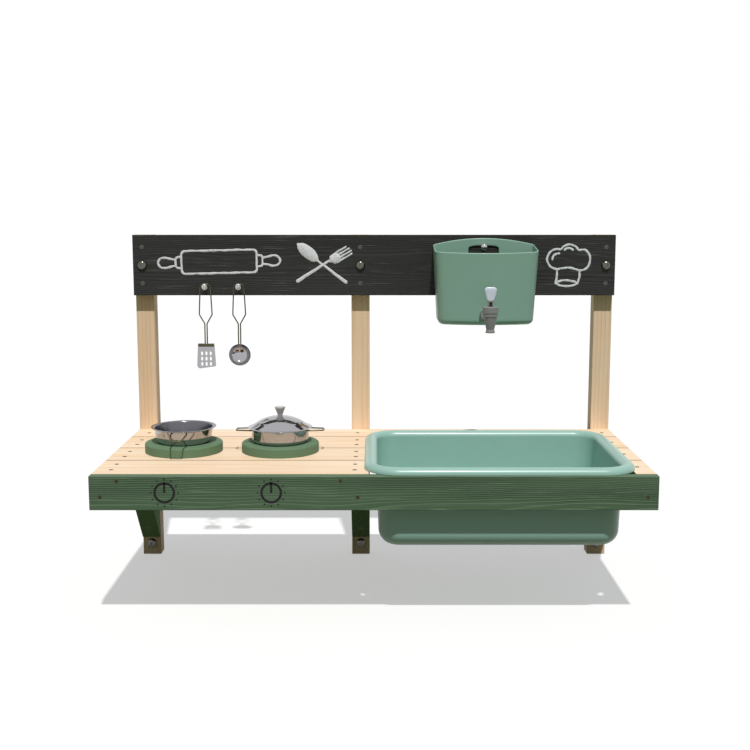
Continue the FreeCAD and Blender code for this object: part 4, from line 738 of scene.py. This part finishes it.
def tank():
    """Outer and inner wall with a round lip between them. In each, the block of quads about the hanging slot
    is left out, and rings run from its edge to the slot, where a throat joins the two walls, its edges
    rounded by ease. The walls have rows below and beside the block, which is half_columns wide each way."""
    below, beside, half_columns, ease = 14, 20, 19, 0.8
    turn = np.linspace(0, math.pi / 2, 9)
    heights = np.concatenate([np.linspace(14, 120, below), np.linspace(122, 155, beside), [156.5]])
    walls = []
    for inset, radius in ((0, 11), (TANK_WALL, 9)):
        walls.append(tank_top(tank_loop(
            np.concatenate([inset + radius * (1 - np.cos(turn)), heights]),
            np.concatenate([inset + radius * (1 - np.sin(turn)), 0 * heights + inset]))))
    outside, inside = walls
    centre = (outside[-1] + inside[-1]) / 2
    over = np.linspace(0, math.pi, 9)[:, None, None]
    grids = [centre + (outside[-1] - centre) * np.cos(over) + np.array([0, 0, TANK_WALL / 2]) * np.sin(over)]
    low_row = len(turn) + below + 1
    high_row = low_row + beside - 2
    low_column = TANK_ARC + TANK_RUNS[0] // 2 - half_columns
    high_column = low_column + 2 * half_columns
    rows, columns = slice(low_row, high_row + 1), slice(low_column, high_column + 1)
    throats = []
    for wall, depth, way in ((outside, 0, -1), (inside, -TANK_WALL, 1)):
        grids += [wall[:low_row + 1], wall[high_row:], wall[rows, :low_column + 1], wall[rows, high_column:]]
        block_edge = np.concatenate([
            wall[low_row, columns], wall[rows, high_column][1:], wall[high_row, columns][::-1][1:],
            wall[rows, low_column][::-1][1:]])
        directions = block_edge[:, (0, 2)] - (0, SLOT_MIDDLE)

        def slot_edge(grow, y):
            x, z = superellipse(directions, SLOT_X + grow, SLOT_Z + grow, 5.0).T
            sag = 1.7 * (x / (SLOT_X + grow)) ** 2 * (z > 0) * z / SLOT_Z
            return np.stack([x, 0 * x + y, SLOT_MIDDLE + z - sag], -1)

        grids.append(bridged(block_edge, slot_edge(ease, depth), 4))
        throats.append(np.stack([slot_edge(ease * (1 - math.sin(a)), depth + way * ease * (1 - math.cos(a)))
                                 for a in np.linspace(0, math.pi / 2, 5)]))
    grids += [*throats, np.stack([throats[0][-1], throats[1][-1]])]
    for wall, z in ((outside, 0), (inside, TANK_WALL)):
        grids.append(np.concatenate([np.broadcast_to((0, -46, z), wall[:1].shape), wall[:1]]))
    boss = profile((8.1, 86), (15.0, 86), (15.6, 90.6, 1), (15.3, 97.0, 1.2), (8.1, 97.0), (8.1, 86), steps=6)
    grids.append(turned(boss, (0, 0, TAP_Z - TANK_Z), FRONT))
    return [grid + (TAP_X, TANK_Y, TANK_Z) for grid in grids]


stand_in("water_tank", tank(), "tank", tank_plastic)

# Tap: turned column, inlet along the wall's axis, ribbed cap, seals and nut
TAP = (TAP_X, TAP_Y, TAP_Z)
column = profile((5, -29.4), (9.0, -29.4, .5), (9.1, -26.6, 1), (7.7, -23.0, 3), (10.4, -11.6, 10),
                 (13.0, 1.6, 2), (13.9, 2.6, .5), (14.1, 5.0), (14.1, 9), (9, 9), (9, -10), (5, -10),
                 (5, -29.4), steps=7)
inlet = profile((4.5, 6), (8, 6), (8, 56, 1), (13.1, 56.0, .6), (13.6, 56.6), (13.6, 59, .4), (8, 59),
                (7.9, 61), (7.9, 91, .5), (4.5, 91), (4.5, 6), steps=5)
stand_in("tap_body", [turned(column, TAP, sides=96), turned(inlet, TAP, BACK)], "tank",
         tap_plastic)


def ribbed_cap():
    """The cap's side steps in and out as a rounded wave of the turn, so that fingers grip it."""
    path = profile((9, 0), (15.0, 0, .5), (15.4, 1.5), (15.4, 9.6), (15.4, 12.0, .8), (14.4, 13, .6),
                   (3.2, 13), (3.2, 10), (9, 10), (9, 0), steps=5)
    turn = angles(240)
    radius, height = path[:, :1], path[:, 1:]
    grip = np.clip((radius - 14.8) / 0.4, 0, 1) * np.clip(height / 2, 0, 1) * np.clip(10.6 - height, 0, 1)
    ribbed = radius - 0.55 * grip * (0.5 - 0.5 * np.cos(40 * turn)) ** 2
    return [moved(spun(ribbed, height, turn), (TAP_X, TAP_Y, TAP_Z + 9))]


stand_in("tap_cap", ribbed_cap(), "tank", tap_plastic)
seal = profile((8.05, 0), (14.3, 0, .5), (14.3, 2, .5), (8.05, 2), (8.05, 0), steps=5)
for name, y in (("outer_tap_seal", -154.7), ("inner_tap_seal", -142.2)):
    stand_in(name, [turned(seal, (TAP_X, y, TAP_Z), BACK)], "tank", rubber)
turn = angles(72)
nut_radius = np.minimum(hexagon(13.0, turn), np.array([[8.05, 13.8, 14.9, 14.9, 13.8, 8.05, 8.05]]).T)
nut = spun(nut_radius, np.array([[0, 0, 0.8, 5.2, 6, 6, 0]]).T, turn)
stand_in("tap_nut", [moved(nut, (TAP_X, -140.2, TAP_Z), BACK)], "tank", tap_plastic)

# Valve and lever
rod = profile((0, 196.5), (2.5, 196.5, .3), (2.5, 235.4, .5), (0, 235.4))
stand_in("valve_rod", [turned(rod, (TAP_X, TAP_Y, 0), sides=40)], "valve", rubber)
foot = profile((0, 195.0), (7.4, 195.0, .5), (7.4, 196.5, .3), (0, 196.5))
stand_in("valve_seal", [turned(foot, (TAP_X, TAP_Y, 0), sides=48)], "valve", rubber)
pin = profile((0, -5), (0.98, -5, .2), (0.98, 5, .2), (0, 5))
stand_in("lever_pin", [turned(pin, (TAP_X, TAP_Y, PIN_Z), X, 24)], "lever", wire_steel)
fork = [block((TAP_X + left, TAP_Y - 4.5, low), (TAP_X + right, TAP_Y + 4.5, high), edge)
        for left, right, low, high, edge in (
            (-5, -2.8, 227.2, 238.0, 0.7), (2.8, 5, 227.2, 238.0, 0.7), (-5, 5, 235.4, 239.2, 0.9))]
piece("lever_fork_look", fork, "lever", tap_plastic)


def paddle():
    """Flat sections whose half width grows with height along a soft curve and closes in a round on top."""
    foot, bend = 6.4, 26.0
    height = np.concatenate([np.linspace(foot, bend, 20),
                             bend + 6.7 * np.sin(np.linspace(0, math.pi / 2, 12))[1:]])
    closing = np.sqrt(np.clip(1 - (np.clip(height - bend, 0, None) / 6.701) ** 2, 0, 1))
    half = 0.7 + 5.9 * np.clip((height - foot) / 21, 0, 1) ** 0.8 + 5.6 * closing
    thick = 2.5 * np.clip(0.25 + 0.75 * closing, 0, 1) * np.clip((height - 6.2) / 0.4, 0.6, 1)
    around = superellipse(spun(1, 0, angles(64)), 1, 1, 3.2)
    grid = at_heights(np.stack([half, thick], 1)[:, None] * around, height)
    return [capped(grid) + (TAP_X, TAP_Y, PIN_Z)]


piece("lever_paddle_look", paddle(), "lever", lever_plastic, ["tap_lever"])


# Chalk drawings

def wobble(path, size, seed):
    """The unsteady hand: two sine waves of the length along the path shift it sideways."""
    steps = np.concatenate([[0], np.cumsum(np.hypot(*np.diff(path, axis=0).T))])
    wave = np.sin(steps / 7.3 + seed) + 0.7 * np.sin(steps / 3.1 + 2.7 * seed)
    along = np.gradient(path, axis=0)
    along /= np.linalg.norm(along, axis=1, keepdims=True)
    return path + size * wave[:, None] * along[:, ::-1] * (1, -1)


def stroke(path, radius, seed, closed=False):
    """A flat line on the board. Its half width is given along it, or is one number that swells and thins as
    the sum of two sine waves of its length."""
    runs = [np.linspace(a, b, max(2, int(np.hypot(*(b - a)) / 1.6)), endpoint=False)
            for a, b in zip(path, path[1:]) if np.hypot(*(b - a)) > 0.05]
    dense = wobble(np.concatenate(runs + [path[-1:]]), 0.22, seed)
    count = np.arange(len(dense))
    if np.ndim(radius):
        radius = np.interp(count / count[-1], np.linspace(0, 1, len(radius)), radius)
    else:
        radius = radius * (1 + 0.1 * np.sin(count / 2.3 + seed) + 0.08 * np.sin(count / 5.1 + 2 * seed))
    if closed:
        dense[-1], radius[-1] = dense[0], radius[0]
    points = np.stack([dense[:, 0], 0 * count + BOARD_FACE - PRINT, dense[:, 1]], -1)
    return tube(points, radius, FRONT, 8, 0.16, closed)


def tilted(points, centre, angle):
    """Flat points turned about a centre."""
    turn = np.array([[math.cos(angle), math.sin(angle)], [-math.sin(angle), math.cos(angle)]])
    return points @ turn + centre


PIN_CENTRE, PIN_TILT = (-321.3, 307.2), math.radians(1.3)
roller = rounded([(-78, -23.5), (78, -23.5), (78, 23.5), (-78, 23.5)], (8, 8, 8, 8), 6, True)
collar = rounded([(79, -12), (90, -10.5), (90, 10.5), (79, 12)], (0, 5, 5, 0), 4)
grip = smooth_curve([(90.5, -6.5), (101, -8), (112, -10.5), (122, -8.5), (127, 0), (122, 8.5), (112, 10.5),
                     (101, 8), (90.5, 6.5)], 6)
pin_lines = [roller] + [line * (side, 1) for side in (-1, 1) for line in (collar, grip)]
piece("chalk_rolling_pin", [stroke(tilted(line, PIN_CENTRE, PIN_TILT), 2.15, 1.3 * k, line is roller)
                            for k, line in enumerate(pin_lines)], "frame", chalk_white)

spoon_path = np.concatenate([np.linspace((-156.5, 343), (-118, 310.3), 20),
                             np.linspace((-118, 310.3), (-58.5, 264.8), 30)[1:]])
spoon_width = np.concatenate([11.0 * np.sqrt(1 - np.linspace(-0.98, 0.97, 20) ** 2) + 1.2,
                              np.linspace(1.9, 3.5, 29)])
fork_path = np.linspace((-158.5, 267.4), (-91.5, 310.2), 40)
fork_width = np.linspace(3.7, 2.3, 40)
reach = unit(np.array([-43.5, 329.5]) - np.array([-91.5, 300.0]))
across = np.array([-reach[1], reach[0]])
root = np.array([-84.5, 311.5])
head = np.linspace(root - reach * 7, root + reach * 6, 14)
head_width = np.interp(np.linspace(0, 1, 14), (0, .35, 1), (2.4, 9.6, 10.4))
tines = [stroke(np.linspace(root + reach * 5, root + reach * length, 14) + across * shift, 1.75, shift)
         for shift, length in ((9.2, 36), (3.1, 40), (-3.1, 41), (-9.2, 39))]
piece("chalk_spoon_and_fork", [stroke(spoon_path, spoon_width, 0.4), stroke(fork_path, fork_width, 2.1),
                               stroke(head, head_width, 3.3), *tines],
      "frame", chalk_white)

# The cook's hat: outline, band's top, its two sides, two lines at its foot, and two folds
HAT = (
    (8, (379.4, 291.0), (366, 297), (358.8, 311), (364, 326.5), (376, 333.5), (387, 332.8), (393, 339),
     (405, 342.8), (417, 339), (424, 331.6), (437, 331.4), (447, 320), (446.5, 303), (438, 292),
     (427, 288.8)),
    (6, (379, 291.4), (391, 294), (404, 294.6), (416, 292.4), (427.2, 288.8)),
    (8, (379.5, 291), (379.8, 280), (377, 262.6)),
    (8, (426.6, 288.5), (426.2, 276), (423, 262.6)),
    (6, (377, 262.8), (388, 267.8), (401, 268.8), (414, 266.6), (423, 262.8)),
    (6, (377, 262.4), (388, 257.8), (401, 257), (414, 258.2), (423, 262.4)),
    (6, (369.5, 311.5), (371.5, 319), (377, 323.5), (383.5, 324.6)),
    (6, (394.5, 331.5), (399, 335.2), (406, 335.4), (411.5, 331.8)),
)
piece("chalk_cook_hat", [stroke(smooth_curve(points, steps), 2.1, 0.9 * k)
                         for k, (steps, *points) in enumerate(HAT)], "frame", chalk_white)

# Dials printed on the front board
INK = 0.05
dial_ring = profile((14.9, 0), (14.9, INK), (19.2, INK), (19.2, 0), (14.9, 0))
dial_dot = profile((0, 0), (1.6, 0), (1.6, INK), (0, INK))
for name, x in (("left_dial", -367.6), ("right_dial", -180.1)):
    centre = np.array([x, FRONT_FACE + INK - PRINT, -78.8])
    pointer = block((x - 2.0, FRONT_FACE - PRINT, -79.2), (x + 2.0, FRONT_FACE + 0.04, -61.0), 0.02, 2)
    dots = [turned(dial_dot, centre + 24.0 * (X * math.sin(hour) + Z * math.cos(hour)), FRONT, 20)
            for hour in np.arange(12) * math.pi / 6]
    ink = [turned(dial_ring, centre, FRONT, 96), pointer, *dots]
    piece(name, ink, "frame", dial_ink)


# Stage: floor, world, sun and camera

def background_rays(tree):
    """One for the rays that see the background: from the camera, off a mirror or through glass."""
    seen = node(tree, "LightPath", {}, "Is Camera Ray")
    for kind in ("Is Glossy Ray", "Is Transmission Ray"):
        ray = node(tree, "LightPath", {}, kind)
        seen = node(tree, "Math", {0: seen, 1: ray}, operation="ADD")
    return seen


def stage_floor():
    """A white floor at the posts' feet. It glows to camera and mirror, so its shadow stays light."""
    bpy.ops.mesh.primitive_plane_add(size=60, location=(0, 20, FLOOR * MM))
    floor = bpy.context.object
    floor.name = "studio_floor"
    made, tree, shader = material("white_studio_floor")
    tree.nodes.remove(shader)
    seen = background_rays(tree)
    glow = node(tree, "Emission", {"Color": grey(1.0), "Strength": 0.47})
    paper = node(tree, "BsdfDiffuse", {"Color": grey(0.555)})
    lit = node(tree, "AddShader", {0: glow, 1: paper})
    dull = node(tree, "BsdfDiffuse", {"Color": (0.075, 0.10, 0.03, 1)})
    either = node(tree, "MixShader", {0: seen, 1: dull, 2: lit})
    tree.links.new(either, tree.nodes["Material Output"].inputs["Surface"])
    floor.data.materials.append(made)


def world():
    """White to camera, mirror and glass alike. Matt faces get an even dim sky, greener from below."""
    made = bpy.data.worlds.new("daylight_studio")
    bpy.context.scene.world = made
    made.use_nodes = True
    tree = made.node_tree
    tree.nodes.clear()
    direction = node(tree, "TexCoord", {}, "Generated")
    up = node(tree, "SeparateXYZ", {"Vector": direction}, "Z")
    dim = node(tree, "ValToRGB", {"Fac": up}, stops=(
        (0.2, (0.10, 0.115, 0.06, 1)), (0.6, (0.215, 0.225, 0.25, 1))))
    sky = node(tree, "Background", {"Color": dim, "Strength": 1.0})
    white = node(tree, "Background", {"Color": grey(1.0), "Strength": 1.0})
    either = node(tree, "MixShader", {0: background_rays(tree), 1: sky, 2: white})
    output = tree.nodes.new("ShaderNodeOutputWorld")
    tree.links.new(either, output.inputs["Surface"])


def sun():
    """Daylight from above and in front. The width of its disc softens the edges of shadows."""
    light = bpy.data.lights.new("sun", "SUN")
    light.energy = 2.92
    light.angle = math.radians(1.5)
    light.color = (1.0, 0.985, 0.955)
    made = bpy.data.objects.new("sun", light)
    made.rotation_euler = Vector((0.07, -0.55, 1.0)).to_track_quat("Z", "Y").to_euler()
    bpy.context.scene.collection.objects.link(made)


def camera():
    """A 54 mm lens 2.4 m in front of the wall, tipped down by 8.2 degrees."""
    lens = bpy.data.cameras.new("camera")
    lens.lens, lens.sensor_width = 53.64, 36.0
    made = bpy.data.objects.new("camera", lens)
    made.location = (0.00195, -2.382, 0.4045)
    made.rotation_euler = (math.radians(90 - 8.182), 0, 0)
    bpy.context.scene.collection.objects.link(made)
    bpy.context.scene.camera = made


stage_floor()
world()
sun()
camera()
bpy.context.scene.view_settings.view_transform = "Standard"
